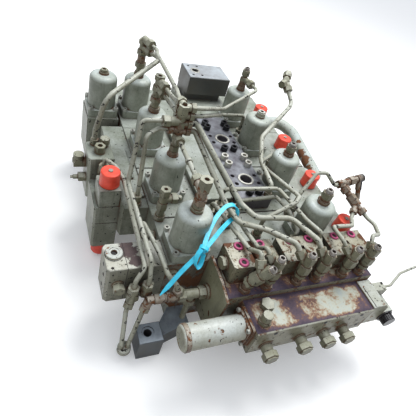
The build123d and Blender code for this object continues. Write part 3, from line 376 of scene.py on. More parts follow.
finishes = {
    # castings: grey-green, paler on top in painted light, dark in every corner with oil and painted shade,
    # with large dull blotches
    "sectionPaint": agedPaint("agedPaintOnCastIron", top="#AEB4AB", topDull="#83897A", chips=0.55,
                              edges=0.65, bleed=0.55, dirt=1.15, patches=0.46, patchSize=55),
    # return tube: smooth and pale, with brown scabs where it was knocked
    "tubePaint": agedPaint("agedPaintOnReturnTube", top="#BCC5C1", wall="#A0A596", wallDull="#7E8274",
                           shift=6.1, chips=0.55, edges=0.3, bleed=0.45, patches=0.12, dirt=0.35, blotch=55,
                           scabs=(((361, 177, 236), 60), ((374, 222, 232), 44), ((346, 132, 236), 46),
                                  ((396, 285, 250), 26))),
    # spring caps: the soundest paint, pale on the domes, with a few small chips
    "capPaint": agedPaint("agedPaintOnCap", top="#BBC4C0", wall="#9CA193", wallDull="#7C8173", shift=3.7,
                          chips=0.38, edges=0.2, patches=0.12, dirt=0.55, blotch=55, patchSize=30),
    # pipes: cream-grey, scraped to dark steel in short bands
    "pipePaint": agedPaint("agedPaintOnPipe", top="#B9BBAE", topDull="#9E9F8E", wall="#9A9986",
                           wallDull="#767461", shift=7.1, chips=1.0, edges=0.0, bleed=0.6, patches=0.42,
                           patchSize=16, dirt=0.45),
    # fittings: olive, with brown rust where two of them meet
    "fittingPaint": agedPaint("agedPaintOnFitting", top="#B3B4A2", topDull="#8F8E77", wall="#85836B",
                              wallDull="#615F49", shift=1.9, chips=0.6, chipSize=8, edges=0.55, bleed=0.9,
                              patches=0.55, patchSize=20, dirt=0.55, rust="#7E5430"),
    # fittings that lost most of their paint: warm brown with grey islands
    "rustyFitting": agedPaint("rustedFitting", top="#B4AEA0", topDull="#8B7C69", wall="#85745F",
                              wallDull="#5A4636", shift=4.4, chips=0.8, chipSize=8, edges=0.7, bleed=0.95,
                              patches=0.86, patchSize=18, dirt=0.6, rust="#84522B"),
    # front block and pilot casting: cream walls that flake along every edge
    "flakingPaint": agedPaint("flakingPaintOnSteel", top="#BFC1B2", topDull="#A19D89", wall="#918E78",
                              wallDull="#6F6A55", shift=5.3, chips=0.8, chipSize=10, edges=0.85, bleed=0.95,
                              patches=0.72, patchSize=26, dirt=0.75, rust="#8A5A35"),
    # left front block: cream, with a grey-violet patch of bare iron across its top
    "leftBlockPaint": agedPaint("flakingPaintOnLeftBlock", top="#C4C6BA", topDull="#A9A796", wall="#8F8E7C",
                                wallDull="#6D6C5C", shift=5.9, chips=0.8, chipSize=10, edges=0.8, bleed=0.7,
                                patches=0.5, patchSize=30, dirt=0.7, rust="#6B5A55", deepRust="#3A3236",
                                scabs=(((-408, -208, 262), 42), ((-398, -240, 262), 34),
                                       ((-412, -190, 262), 34))),
    # pilot units: cream tops speckled brown, olive walls with rust below
    "unitPaint": agedPaint("flakingPaintOnPilotUnit", top="#BCBBA8", topDull="#978F76", wall="#86836A",
                           wallDull="#625A43", shift=2.7, chips=0.9, chipSize=9, edges=0.95, bleed=1.0,
                           patches=0.78, patchSize=20, dirt=0.95, rust="#7B4D2D",
                           scabs=(((-122, -318, 324), 34), ((-180, -262, 324), 26), ((-60, -335, 312), 30),
                                  ((33, -322, 324), 34), ((100, -300, 324), 26), ((188, -322, 324), 34),
                                  ((250, -290, 320), 26))),
    # domed nut: sound pale grey paint
    "paleFitting": agedPaint("paintedDomedNut", top="#C9CCC4", topDull="#AFB0A2", wall="#A3A494",
                             wallDull="#84846F", shift=1.2, chips=0.5, chipSize=8, edges=0.3, bleed=0.5,
                             patches=0.2, patchSize=20, dirt=0.4),
    # spring cylinder and end cover: off-white with warm stains
    "whitePaint": agedPaint("whitePaintOnSteel", top="#C2C7C1", topDull="#A9AB9C", wall="#ACAB99",
                            wallDull="#8A8872", shift=6.6, chips=0.75, edges=0.65, bleed=0.8, patches=0.6,
                            patchSize=22, dirt=0.6, rust="#9A6A42", deepRust="#5A3A28"),
    # bracket plate: olive, soaked in oil
    "stainedPaint": agedPaint("oilStainedPaint", top="#ADAD9B", topDull="#8D8B75", wall="#8A8970",
                              wallDull="#6E6C53", shift=8.2, chips=0.35, edges=0.45, bleed=0.8,
                              patches=0.35, patchSize=30, dirt=0.6),
    # front wall of the first section: almost all brown rust
    "rustedWall": agedPaint("paintLostToRust", top="#A39C8E", topDull="#857A69", wall="#7E7768",
                            wallDull="#5B5145", shift=3.1, chips=0.6, edges=0.6, bleed=0.8, patches=0.95,
                            dirt=0.9),
    # front block's top: half its paint gone
    "peelingTop": peelingPaint("peelingPaintOnMillScale", "front_block"),
    # pilot casting's ledge: violet-brown scale with a little paint left
    "scaledLedge": peelingPaint("rustedLedge", "pilot_casting", share=0.30, shift=9.4),
    # deck plate: grey-violet ground steel under a film of old oil, darker on its upright edges in painted
    # shade
    "deckSteel": plainMetal("oiledDeckSteel", light="#92969B", dark="#504A51", wall="#6C696B",
                            stain="#4A3833", roughness=0.38, rust=0.58, film=38, metallic=0.4),
    # rear port block's walls: dark grey with brown runs, darker still in painted shade where they stand
    # upright
    "darkSteel": plainMetal("blackenedSteel", light="#84898A", dark="#585A59", wall="#5E5B54",
                            stain="#6B5140", roughness=0.45, rust=0.4, film=50, metallic=0.5),
    # rear port block's top: a brighter copy of its steel as painted light from the sky, with broad brown
    # stains
    "skyLitTop": plainMetal("skyLitRearBlockTop", light="#BEC7CC", dark="#8D8C8B", stain="#80614D",
                            roughness=0.38, rust=0.72, film=70, metallic=0.3),
    # lower port block's top: a lighter blue-grey copy of its walls' steel, as painted light from above
    "skyLitLowerTop": plainMetal("skyLitLowerBlockTop", light="#A7B2BB", dark="#747B82", stain="#5B4638", rust=0.5,
                           film=46, metallic=0.35),
    # lower port block's walls: dark blue-grey scale, darker still in painted shade where they stand upright
    "millScale": plainMetal("millScaledSteel", light="#7F868E", dark="#3C4248", wall="#5A5B58",
                            stain="#4B3A30", roughness=0.5, rust=0.3, film=40, metallic=0.5),
    # cap screws: dull zinc under grime
    "greyScrew": plainMetal("zincScrewWithGrime", roughness=0.45, rust=0.35, film=14, metallic=0.4),
    # socket screws: black oxide; on the cap screws, also the painted shade of their socket floors
    "blackSteelAndShade": plainMetal("blackScrewSteel", light="#3F3F42", dark="#1B1B1D"),
    # seal rings and plated screws: bright and warm
    "zincScrew": plainMetal("zincPlatedScrew", light="#DAD9D2", dark="#A7A598", roughness=0.35, film=12,
                            metallic=0.6),
    # spools and stubs: clean and shiny
    "groundSteel": plainMetal("groundSteel", light="#C9CBCC", dark="#90959A", roughness=0.3, rust=0.1),
    # open thread ends: worn grey ridges with brown roots
    "bareThread": plainMetal("wornThreadSteel", light="#B0AEA9", dark="#6E6459", stain="#6E4327", rust=0.5,
                             film=10, metallic=0.7),
    # springs: dark and even
    "springSteel": plainMetal("springSteel", light="#8E9296", dark="#565A5E", roughness=0.35, rust=0.1),
    # painted shade: black for the insides of bores and sockets and the gaps between blocks
    "boreShade": plainMetal("paintedBoreShade", light="#2A2320", dark="#100E0E", stain="#3A2418", roughness=0.6,
                           rust=0.3, film=12, metallic=0.2),
    # protective caps: strong orange-red, a little waxy
    "orangeCap": mouldedPlastic("orangePolyethylene", light="#F75740", dark="#E2452F"),
    # pins in the caps: grey and dusty
    "greyPin": mouldedPlastic("greyPolyethylenePin"),
    # port seals: dull crimson-pink rubber
    "pinkSeal": mouldedPlastic("pinkSealRubber", light="#CF5A8A", dark="#8E2F57", roughness=0.55),
    # knob: black, half glossy
    "blackKnob": mouldedPlastic("blackPhenolic", light="#26262A", dark="#0F0F11", roughness=0.35),
    # cable tie: bright cyan, the cleanest thing on the block
    "cyanTie": mouldedPlastic("cyanNylon", light="#46D6F3", dark="#2CBBDD", roughness=0.38),
}
print("finishes made:", len(finishes))


# Which finish each node takes, and which others on some of its faces

nodeFinish = {
    "deck_plate": "deckSteel",
    "deck_screws": "blackSteelAndShade",
    "cap_flange_screws": "greyScrew",
    "rear_port_block": "darkSteel",
    "lower_port_block": "millScale",
    "port_caps": "orangeCap",
    "port_stubs": "groundSteel",
    "deck_port_rings": "zincScrew",
    "pilot_port_rings": "pinkSeal",
    "knurled_knob": "blackKnob",
    "centring_springs": "springSteel",
    "front_spring": "springSteel",
    "front_spool": "groundSteel",
    "front_block": "flakingPaint",
    "front_end_plates": "rustyFitting",
    "pilot_casting": "flakingPaint",
    "pilot_units": "unitPaint",
    "left_front_block": "leftBlockPaint",
    "bracket_plate": "stainedPaint",
    "spring_cylinder": "whitePaint",
    "right_cover": "whitePaint",
    "front_plugs": "fittingPaint",
    "cap_fittings": "fittingPaint",
    "pilot_elbows": "fittingPaint",
    "pipe_fittings": "fittingPaint",
    "tee_line": "fittingPaint",
    "tie_rods": "fittingPaint",
    "gauge_line": "pipePaint",
    "left_pipes": "pipePaint",
    "centre_pipes": "pipePaint",
    "right_pipes": "pipePaint",
    "return_tube": "tubePaint",
}
millimetre = 0.001
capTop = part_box("spring_cap_l1")[1].z
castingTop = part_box("front_section")[1].z
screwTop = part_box("cap_flange_screws")[1].z
bossHeight = 3.5 * millimetre      # of the machined boss on each spring cap
socketDepth = 2 * millimetre
elbowCollar = 26 * millimetre      # how far the rust climbs the leaning fittings
stackRadius = 30                   # half the width of a stack of fittings
rustyStretches = [
    # x, y, lowest and highest z, in millimetres, where a stack of fittings has lost its paint
    (-265, -212, 418, 470),
    (-265, 0, 470, 496),
    (-265, 0, 402, 412),
    (-265, 212, 402, 414),
    (-265, 212, 440, 452),
    (-265, 424, 402, 412),
    (-265, 424, 456, 470),
    (115, 392, 402, 436),
    (115, -212, 402, 416),
    (115, 0, 402, 410),
]


# Tests of a face, by its centre and its normal

def within(low, high):
    # holds where the centre lies in this box, in millimetres
    return lambda at, way: all(a < b / millimetre < c for a, b, c in zip(low, at, high))


def upward(at, way):
    return way.z > 0.8


def socketFloorShade(at, way):
    return upward(at, way) and at.z < screwTop - socketDepth


def inRust(at, way):
    return any(abs(at.x / millimetre - x) < stackRadius and abs(at.y / millimetre - y) < stackRadius
               and low < at.z / millimetre < high for x, y, low, high in rustyStretches)


otherFinishes = {
    # node: (finish, test) pairs, of which the last that holds wins
    "front_block": [("peelingTop", upward)],
    "pilot_casting": [("scaledLedge", upward)],
    "front_section": [("rustedWall", lambda at, way: way.y < -0.8)],
    # painted shade: the floors of the cap screws' sockets are black
    "cap_flange_screws": [("blackSteelAndShade", socketFloorShade)],
    "cap_fittings": [("rustyFitting", inRust), ("paleFitting", within((85, 182, 0), (145, 242, 600)))],
    "bracket_plate": [("rustyFitting", lambda at, way: abs(way.x) < 0.5)],
    # painted light: the port blocks' upward faces take brighter copies of their steel
    "rear_port_block": [("skyLitTop", upward)],
    "lower_port_block": [("skyLitLowerTop", upward)],
    "pilot_elbows": [("rustyFitting", lambda at, way: at.z < castingTop + elbowCollar)],
    # the junction on the right, whose outer elbow is black
    "pipe_fittings": [
        ("rustyFitting", within((200, -600, 330), (600, 0, 600))),
        ("blackSteelAndShade", within((330, -600, 370), (600, -70, 600))),
    ],
    "tee_line": [("rustyFitting", within((-600, -600, 170), (-300, 600, 600)))],
    "port_stubs": [("greyPin", within((-600, -600, 305), (600, 700, 600)))],
    # the screws beside the deck's middle are plated
    "deck_screws": [("zincScrew", lambda at, way: abs(at.x) > 0.02 and 0.05 < at.y < 0.12)],
    "spring_cap": [("rustyFitting", lambda at, way: at.z > capTop - bossHeight)],
}


def nodeMaterials(node, first, others):
    mesh = node.data
    mesh.materials.clear()
    for finish in (first, *[finish for finish, test in others]):
        mesh.materials.append(finishes[finish])
    for polygon in mesh.polygons:
        polygon.material_index = 0
        for number, (finish, test) in enumerate(others, 1):
            if test(polygon.center, polygon.normal):
                polygon.material_index = number


for name, node in nodes.items():
    family = "spring_cap" if name.startswith("spring_cap") else name
    plain = "groundSteel" if name.startswith("spool_") else "sectionPaint"
    plain = "capPaint" if family == "spring_cap" else plain
    nodeMaterials(node, nodeFinish.get(name, plain), otherFinishes.get(family, []))
print("finishes on the nodes")


# Mesh helpers: every length from here to the studio is in millimetres

up = Vector((0, 0, 1))
hexagon = 6


def boxOf(node):
    return [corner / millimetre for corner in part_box(node)]


def spun(mesh, foot, way, profile, sides=32, closed=False):
    # A profile of (radius, height) turned about the axis that leaves foot along way
    turn = Vector(way).to_track_quat("Z", "Y").to_matrix()
    rings = []
    for radius, height in profile:
        angles = [2 * math.pi * step / sides for step in range(sides)]
        spots = [Vector((radius * math.cos(a), radius * math.sin(a), height)) for a in angles]
        rings.append([mesh.verts.new((Vector(foot) + turn @ spot) * millimetre) for spot in spots])
    pairs = list(zip(rings, rings[1:]))
    if closed:
        pairs.append((rings[-1], rings[0]))
    else:
        mesh.faces.new(rings[0][::-1])
        mesh.faces.new(rings[-1])
    for low, high in pairs:
        for step in range(sides):
            after = (step + 1) % sides
            mesh.faces.new((low[step], low[after], high[after], high[step]))


def boreShadeDisc(mesh, foot, way, radius, heights, inner, sides=32):
    # Painted shade at the bottom of a bore or socket: a thin black disc, dished towards its middle
    low, high, dish = heights
    spun(mesh, foot, way, [(radius, low), (radius, high), (inner, dish)], sides)


def block(mesh, low, high, bevel):
    # A box with rounded edges
    low, high = Vector(low), Vector(high)
    made = bmesh.ops.create_cube(mesh, size=1)["verts"]
    for corner in made:
        offset = Vector([a * b for a, b in zip(corner.co, high - low)])
        corner.co = ((low + high) / 2 + offset) * millimetre
    edges = list({edge for corner in made for edge in corner.link_edges})
    bmesh.ops.bevel(mesh, geom=edges, offset=bevel * millimetre, segments=2, affect="EDGES")


def smoothLine(points, steps=6):
    # A curve through all the points, straight out of the first and into the last
    points = [Vector(point) for point in points]
    ends = [2 * points[0] - points[1], *points, 2 * points[-1] - points[-2]]
    line = []
    for before, first, second, after in zip(ends, ends[1:], ends[2:], ends[3:]):
        slopeIn = (second - before) / 2
        slopeOut = (after - first) / 2
        for step in range(steps):
            t = step / steps
            line.append(first * (2 * t**3 - 3 * t**2 + 1) + slopeIn * (t**3 - 2 * t**2 + t)
                        + second * (3 * t**2 - 2 * t**3) + slopeOut * (t**3 - t**2))
    return [*line, points[-1]]


def strap(mesh, points, width, thickness, across, pointed=0):
    # A flat band along a curve, its breadth along across, with a tip over the last pointed millimetres
    line = smoothLine(points)
    chamfer = thickness * 0.3
    rings = []
    for number, spot in enumerate(line):
        ahead = (line[min(number + 1, len(line) - 1)] - line[max(number - 1, 0)]).normalized()
        side = (Vector(across) - ahead * ahead.dot(Vector(across))).normalized()
        lift = side.cross(ahead)
        left = (line[-1] - spot).length
        breadth = width * min(1, 0.25 + 0.75 * left / pointed) if pointed else width
        half, flat, thick = breadth / 2, breadth / 2 - chamfer, thickness / 2
        outline = [(-half, -chamfer), (-half, chamfer), (-flat, thick), (flat, thick),
                   (half, chamfer), (half, -chamfer), (flat, -thick), (-flat, -thick)]
        rings.append([mesh.verts.new((spot + side * a + lift * b) * millimetre) for a, b in outline])
    mesh.faces.new(rings[0][::-1])
    mesh.faces.new(rings[-1])
    for low, high in zip(rings, rings[1:]):
        for step in range(len(low)):
            after = (step + 1) % len(low)
            mesh.faces.new((low[step], low[after], high[after], high[step]))


def newPiece(name, mesh, finish, body="root", sharp=38):
    bmesh.ops.recalc_face_normals(mesh, faces=mesh.faces)
    data = bpy.data.meshes.new(name)
    mesh.to_mesh(data)
    mesh.free()
    data.materials.append(finishes[finish])
    data.polygons.foreach_set("use_smooth", [True] * len(data.polygons))
    data.set_sharp_from_angle(angle=math.radians(sharp))
    piece = bpy.data.objects.new(name, data)
    bpy.context.scene.collection.objects.link(piece)
    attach(piece, body)
    return piece


# Pink seal rings on the pilot units, each round a black disc of painted shade that stands for its port

sealRings = {
    "outer": 13,
    "inner": 6.5,
    "height": 4,
    "columns": (-153.5, -90.5, 1.5, 64.5, 156.5, 219.5),
    "row": -276,
    "front": (-159.5, -327),
    "floor": (0.05, 0.5, 0.3),
    "dish": 4,
    "sides": 40,
}
unitTop = boxOf("pilot_units")[1].z


def sealProfile(outer, inner, height):
    lip, draft = 1.4, 0.3
    return [(inner, 0), (inner, height - lip), (inner + lip, height), (outer - lip, height),
            (outer - draft, height - lip), (outer, 0)]


ringMesh, wellMesh = bmesh.new(), bmesh.new()
ringProfile = sealProfile(sealRings["outer"], sealRings["inner"], sealRings["height"])
for x, y in [(x, sealRings["row"]) for x in sealRings["columns"]] + [sealRings["front"]]:
    foot = (x, y, unitTop)
    spun(ringMesh, foot, up, ringProfile, sealRings["sides"], True)
    boreShadeDisc(wellMesh, foot, up, sealRings["inner"], sealRings["floor"], sealRings["dish"])
portRings = newPiece("pilotPortSeals", ringMesh, "pinkSeal")
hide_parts("pilot_port_rings")
newPiece("pilotPortBores", wellMesh, "boreShade")


# Raised port ring on the left front block

bossRing = {
    "place": (-446, -212),
    "outer": 21,
    "height": 7,
    "bore": 8,
    "boreHeight": 5,
    "seat": 13,
    "seatHeight": 6.2,
    "shoulder": 1,
    "fillet": (2, 1.5),
    "floor": (0.05, 0.6, 0.4),
    "dish": 4,
    "sides": 48,
}
leftLow, leftHigh = boxOf("left_front_block")
bossMesh, bossBore = bmesh.new(), bmesh.new()
bore, seat, outer = bossRing["bore"], bossRing["seat"], bossRing["outer"]
tall, shoulder = bossRing["height"], bossRing["shoulder"]
bossProfile = [(bore, 0), (bore, bossRing["boreHeight"]), (seat, bossRing["seatHeight"]), (seat, tall),
               (outer - shoulder, tall), (outer, tall - shoulder), (outer, bossRing["fillet"][1]),
               (outer + bossRing["fillet"][0], 0)]
bossFoot = (*bossRing["place"], leftHigh.z)
spun(bossMesh, bossFoot, up, bossProfile, bossRing["sides"], True)
# painted shade: a black disc inside the boss's bore
boreShadeDisc(bossBore, bossFoot, up, bore, bossRing["floor"], bossRing["dish"])
newPiece("leftPortBoss", bossMesh, "whitePaint")
newPiece("leftPortBore", bossBore, "boreShade")


# Pale seal ring round the rear block's port

rearSeal = {"place": (-19, 532), "inner": 12.5, "outer": 19, "height": 1.6, "sides": 40}
sealMesh = bmesh.new()
spun(sealMesh, (*rearSeal["place"], boxOf("rear_port_block")[1].z), up,
     sealProfile(rearSeal["outer"], rearSeal["inner"], rearSeal["height"]), rearSeal["sides"], True)
newPiece("rearPortSeal", sealMesh, "zincScrew")


# Threaded ends that stand in the open fittings: a grey stub with turned ridges round a bore, darkened
# inside by a black disc of painted shade

threadEnds = {
    "ridge": 1.1,
    "pitch": 2.4,
    "turns": 4,
    "bore": 5.2,
    "radius": 9.5,
    "elbowRow": -364,
    "elbowTop": 368,
    "elbowColumns": (-90.5, 1.5, 64.5, 156.5, 219.5),
    "leaningTip": (-122.1, -382.1, 359.1),
    "leaningWay": (0.4, -0.23, 0.88),
    "capEnds": (((115, 0, 432), 11), ((115, -212, 436), 11), ((115, 392, 475), 9)),  # place, radius
    "floor": (4, 5, 4.6),
    "dish": 3,
    "sides": 28,
    "floorSides": 20,
}


def threadProfile(radius, turns, pitch, ridge, bore):
    # each turn climbs to its crest, runs flat along it and drops back; the end is turned down a little
    root = radius - ridge
    outside = []
    for turn in range(turns):
        outside += [(root, turn * pitch), (radius, (turn + 0.45) * pitch), (radius, (turn + 0.6) * pitch)]
    top = turns * pitch
    return [(bore, -1), *outside, (root, top), (root - 0.8, top + 1), (bore + 1, top + 1), (bore, top)]


threadMesh, mouthMesh = bmesh.new(), bmesh.new()
openEnds = [((x, threadEnds["elbowRow"], threadEnds["elbowTop"]), up, threadEnds["radius"])
            for x in threadEnds["elbowColumns"]]
openEnds.append((threadEnds["leaningTip"], Vector(threadEnds["leaningWay"]), threadEnds["radius"]))
openEnds += [(foot, up, radius) for foot, radius in threadEnds["capEnds"]]
for foot, way, radius in openEnds:
    profile = threadProfile(radius, threadEnds["turns"], threadEnds["pitch"], threadEnds["ridge"],
                            threadEnds["bore"])
    spun(threadMesh, foot, way, profile, threadEnds["sides"], True)
    boreShadeDisc(mouthMesh, foot, way, threadEnds["bore"] + 0.2, threadEnds["floor"], threadEnds["dish"],
              threadEnds["floorSides"])
newPiece("openThreadEnds", threadMesh, "bareThread")
newPiece("openThreadBores", mouthMesh, "boreShade")


# Plugs with hexagon sockets: along the front block's edge and on the left front block's side

edgePlugs = {
    "radius": 5.5,
    "proud": 0.8,
    "chamfer": 0.5,
    "socket": 2.8,
    "floor": (0.05, 0.25, 0.2),
    "dish": 1,
    "sides": 24,
    "frontWall": ((-103, 231), (49, 231), (176, 228), (191, 172)),   # x, z
    "leftWall": ((-222, 240), (-232, 212), (-226, 165)),             # y, z
}
frontWall = boxOf("front_block")[0].y
plugMesh, socketMesh = bmesh.new(), bmesh.new()
plugPlaces = [((x, frontWall, z), (0, -1, 0)) for x, z in edgePlugs["frontWall"]]
plugPlaces += [((leftLow.x, y, z), (-1, 0, 0)) for y, z in edgePlugs["leftWall"]]
rim, proud = edgePlugs["radius"], edgePlugs["proud"]
socket, chamfer = edgePlugs["socket"], edgePlugs["chamfer"]
plugProfile = [(socket, 0), (socket, proud), (rim - chamfer, proud), (rim, proud - chamfer), (rim, 0)]
for foot, way in plugPlaces:
    spun(plugMesh, foot, way, plugProfile, edgePlugs["sides"], True)
    # painted shade: a black hexagon for each socket's inside
    boreShadeDisc(socketMesh, foot, way, socket, edgePlugs["floor"], edgePlugs["dish"], hexagon)
newPiece("blockPlugs", plugMesh, "blackSteelAndShade")
newPiece("blockPlugSockets", socketMesh, "boreShade")
print("rings, boss, thread ends and plugs made")


# Socket screws in the end plate's corners

endScrews = {
    "radius": 6,
    "height": 6,
    "socket": 3,
    "socketDepth": 3,
    "inset": 7.5,
    "chamfer": 0.6,
    "dish": 1,
    "sides": 24,
}
plateLow, plateHigh = boxOf("front_end_plates")
cornerScrews, cornerSockets = bmesh.new(), bmesh.new()
rim, tall, socket = endScrews["radius"], endScrews["height"], endScrews["socket"]
inset, chamfer = endScrews["inset"], endScrews["chamfer"]
bottom = tall - endScrews["socketDepth"]
screwProfile = [(socket, 0), (socket, tall), (rim - chamfer, tall), (rim, tall - chamfer), (rim, 0)]
for y in (plateLow.y + inset, plateHigh.y - inset):
    for z in (plateLow.z + inset, plateHigh.z - inset):
        foot = (plateLow.x, y, z)
        spun(cornerScrews, foot, (-1, 0, 0), screwProfile, endScrews["sides"], True)
        # painted shade: a black hexagon at the bottom of each socket
        boreShadeDisc(cornerSockets, foot, (-1, 0, 0), socket, (bottom, bottom + 0.4, bottom + 0.2),
                  endScrews["dish"], hexagon)
newPiece("endPlateScrews", cornerScrews, "greyScrew")
newPiece("endPlateSockets", cornerSockets, "boreShade")


# Clamping collar round the spring cylinder

clampCollar = {"width": 11, "proud": 1.6, "inset": 5, "overlap": 0.4, "chamfer": 0.5, "sides": 48}
tubeLow, tubeHigh = boxOf("spring_cylinder")
tubeMiddle = (tubeLow + tubeHigh) / 2
tubeRadius = (tubeHigh.z - tubeLow.z) / 2
collar = bmesh.new()
inner, outer = tubeRadius - clampCollar["overlap"], tubeRadius + clampCollar["proud"]
wide, chamfer = clampCollar["width"], clampCollar["chamfer"]
spun(collar, (tubeLow.x + clampCollar["inset"], tubeMiddle.y, tubeMiddle.z), (1, 0, 0),
     [(inner, 0), (outer - chamfer, 0), (outer, chamfer), (outer, wide - chamfer), (outer - chamfer, wide),
      (inner, wide)], clampCollar["sides"], True)
newPiece("cylinderCollar", collar, "rustyFitting")


# Black ring round the knob, on the end cover

knobRing = {"outer": 24.5, "gap": 0.8, "depth": 4, "chamfer": 1, "sides": 40}
coverLow, coverHigh = boxOf("right_cover")
knobLow, knobHigh = boxOf("knurled_knob")
knobMiddle = (knobLow + knobHigh) / 2
inner, outer = (knobHigh.x - knobLow.x) / 2 + knobRing["gap"], knobRing["outer"]
deep, chamfer = knobRing["depth"], knobRing["chamfer"]
knobMesh = bmesh.new()
spun(knobMesh, (knobMiddle.x, coverLow.y, knobMiddle.z), (0, -1, 0),
     [(inner, 0), (inner, deep), (outer - chamfer, deep), (outer, deep - chamfer), (outer, 0)],
     knobRing["sides"], True)
newPiece("knobCollar", knobMesh, "blackKnob")


# Painted shade of the gaps: thin black strips between the sections, across the left front block and along
# the end cover

seams = {
    "width": 2.6,
    "proud": 0.25,
    "depth": 1,
    "bevel": 0.1,
    "leftBlock": -421,       # x of the joint in the left front block
    "leftFoot": 2,           # the seam stops this far above the block's underside
    "cover": 222,            # x of the slot in the end cover
    "coverStart": 1,
    "coverLength": 65,
}
gapShadeMesh = bmesh.new()
half, proud, deep, bevel = seams["width"] / 2, seams["proud"], seams["depth"], seams["bevel"]
sectionLow, sectionHigh = boxOf("second_section")
for y in (sectionLow.y, sectionHigh.y):
    block(gapShadeMesh, (sectionLow.x, y - half, sectionHigh.z - deep),
          (sectionHigh.x, y + half, sectionHigh.z + proud), bevel)
thin = half / 2
x = seams["leftBlock"]
seamFront = leftLow.y - proud
block(gapShadeMesh, (x - thin, seamFront, leftHigh.z - deep), (x + thin, leftHigh.y, leftHigh.z + proud), bevel)
block(gapShadeMesh, (x - thin, seamFront, leftLow.z + seams["leftFoot"]),
      (x + thin, leftLow.y + deep, leftHigh.z), bevel)
x = seams["cover"]
slotStart = coverLow.y + seams["coverStart"]
block(gapShadeMesh, (x - half, slotStart, coverHigh.z - deep),
      (x + half, slotStart + seams["coverLength"], coverHigh.z + proud), bevel)
newPiece("blockGapShade", gapShadeMesh, "boreShade")
print("end screws, collars and seams made")


# Cyan cable tie: looped loosely round one of the long pipes, knotted, with its tail sticking out

cableTie = {
    "width": 11.5,
    "thickness": 1.8,
    "pipeWay": (0.33, -0.92, -0.25),
    "loop": [(-261, -291, 345), (-247, -267, 351), (-231, -243, 358), (-203, -211, 367), (-174, -188, 374),
             (-158, -181, 376), (-145, -180, 375), (-137, -186, 370), (-135, -195, 361), (-140, -201, 350),
             (-156, -207, 345), (-190, -233, 346), (-222, -261, 346), (-246, -281, 344), (-262, -295, 341)],
    "tail": [(-259, -290, 349), (-283, -300, 323), (-311, -311, 295), (-334, -321, 266), (-357, -331, 240)],
    "drop": [(-266, -291, 349), (-275, -298, 340), (-281, -307, 324), (-278, -313, 311), (-269, -311, 308),
             (-262, -304, 318), (-259, -296, 336)],
    "point": 26,
    "knot": (-258, -288, 346),
    "knotWay": (-0.6, -0.75, -0.25),
    "knotReach": (11, 6.5),
    "knotWidth": 10,
    "knotSteps": 8,
}
tieMesh = bmesh.new()
across, thickness = cableTie["pipeWay"], cableTie["thickness"]
strap(tieMesh, cableTie["loop"], cableTie["width"], thickness, across)
strap(tieMesh, cableTie["tail"], cableTie["width"], thickness, across, cableTie["point"])
strap(tieMesh, cableTie["drop"], cableTie["width"], thickness, across)
knotWay = Vector(cableTie["knotWay"])
knotSide = Vector(across) - knotWay * knotWay.dot(Vector(across)) / knotWay.length_squared
knotSide.normalize()
knotUp = knotWay.normalized().cross(knotSide)
wrap = []
for step in range(cableTie["knotSteps"] + 1):
    angle = 2 * math.pi * step / cableTie["knotSteps"]
    sideways = knotSide * cableTie["knotReach"][0] * math.cos(angle)
    upwards = knotUp * cableTie["knotReach"][1] * math.sin(angle)
    wrap.append(Vector(cableTie["knot"]) + sideways + upwards)
strap(tieMesh, wrap, cableTie["knotWidth"], thickness, knotWay)
newPiece("cableTie", tieMesh, "cyanTie", sharp=30)
print("cable tie made")


# Floor, lights and camera, in metres

studio = {
    "floorSeen": "#FAFAF8",
    "floorGlow": 0.12,
    "floorBounce": "#6A6A66",
    "floorRoughness": 0.9,
    "floorReach": 6.0,
    "sky": "#F3F7FF",
    "skyTop": 0.96,
    "skyLow": 0.24,
    "aim": (0, 0.05, 0.25),
    "key": ((0.9, 0.9, 3.2), 1.6, 95),       # place, size, power
    "fill": ((-2.6, -2.0, 1.6), 2.5, 14),
    "lens": 34.0,
    "sensor": 36,
    "sight": 30,                             # how far the camera sees
    "place": (-0.6273, -0.80074, 1.02354),
    "right": (0.9082, -0.3272, 0.261),
    "down": (-0.0526, -0.7079, -0.7044),
    "forward": (0.4152, 0.626, -0.6601),
}
floorMesh = bpy.data.meshes.new("studioFloor")
reach = studio["floorReach"]
floorMesh.from_pydata([(-reach, -reach, 0), (reach, -reach, 0), (reach, reach, 0), (-reach, reach, 0)],
                      [], [(0, 1, 2, 3)])
studioFloor = bpy.data.objects.new("studioFloor", floorMesh)
bpy.context.scene.collection.objects.link(studioFloor)

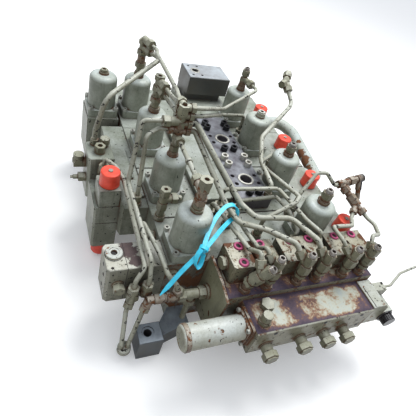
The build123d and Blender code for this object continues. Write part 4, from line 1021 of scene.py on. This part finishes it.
# white to the camera and in reflections, grey to the light that it sends back to the block
floorMaterial, floorTree = newMaterial("paleStudioFloor")
rays = addNode(floorTree, "LightPath").outputs
shown = addNode(floorTree, "Math", [rays["Is Camera Ray"], rays["Is Glossy Ray"]], operation="MAXIMUM")
shown = addNode(floorTree, "Math", [shown, rays["Is Transmission Ray"]], operation="MAXIMUM")
floorColour = addNode(floorTree, "Mix", {0: shown, 6: studio["floorBounce"], 7: studio["floorSeen"]},
                      data_type="RGBA")
floorGlow = addNode(floorTree, "Math", [shown, studio["floorGlow"]], operation="MULTIPLY")
floorShader = addNode(floorTree, "BsdfPrincipled", {
    "Base Color": floorColour, "Roughness": studio["floorRoughness"],
    "Emission Color": (1, 1, 1, 1), "Emission Strength": floorGlow,
})
addNode(floorTree, "OutputMaterial", [floorShader])
floorMesh.materials.append(floorMaterial)

# the sky lights the block from above, and is pale all over to the camera
world = bpy.data.worlds.new("softStudio")
bpy.context.scene.world = world
world.use_nodes = True
sky = world.node_tree
way = addNode(sky, "TexCoord").outputs["Generated"]
height = addNode(sky, "SeparateXYZ", [way]).outputs["Z"]
glow = addNode(sky, "MapRange", [height, 0.05, 0.75, studio["skyLow"], studio["skyTop"]])
seen = addNode(sky, "LightPath").outputs["Is Camera Ray"]
backdrop = addNode(sky, "Math", [seen, studio["skyTop"]], operation="MULTIPLY")
brightness = addNode(sky, "Math", [glow, backdrop], operation="MAXIMUM")
background = sky.nodes["Background"]
background.inputs["Color"].default_value = hexColour(studio["sky"])
sky.links.new(brightness.outputs[0], background.inputs["Strength"])


def areaLight(name, place, size, power):
    lamp = bpy.data.lights.new(name, "AREA")
    lamp.energy = power
    lamp.size = size
    holder = bpy.data.objects.new(name, lamp)
    holder.location = place
    holder.rotation_euler = (Vector(studio["aim"]) - Vector(place)).to_track_quat("-Z", "Y").to_euler()
    bpy.context.scene.collection.objects.link(holder)


areaLight("keyLight", *studio["key"])
areaLight("fillLight", *studio["fill"])

cameraData = bpy.data.cameras.new("camera")
cameraData.sensor_width = studio["sensor"]
cameraData.lens = studio["lens"]
cameraData.clip_end = studio["sight"]
camera = bpy.data.objects.new("camera", cameraData)
columns = [Vector(studio["right"]), -Vector(studio["down"]), -Vector(studio["forward"])]
turn = Matrix([[column[row] for column in columns] for row in range(3)])
camera.matrix_world = Matrix.Translation(studio["place"]) @ turn.to_4x4()
bpy.context.scene.collection.objects.link(camera)
bpy.context.scene.camera = camera
bpy.context.scene.view_settings.view_transform = "Standard"
print("studio ready")
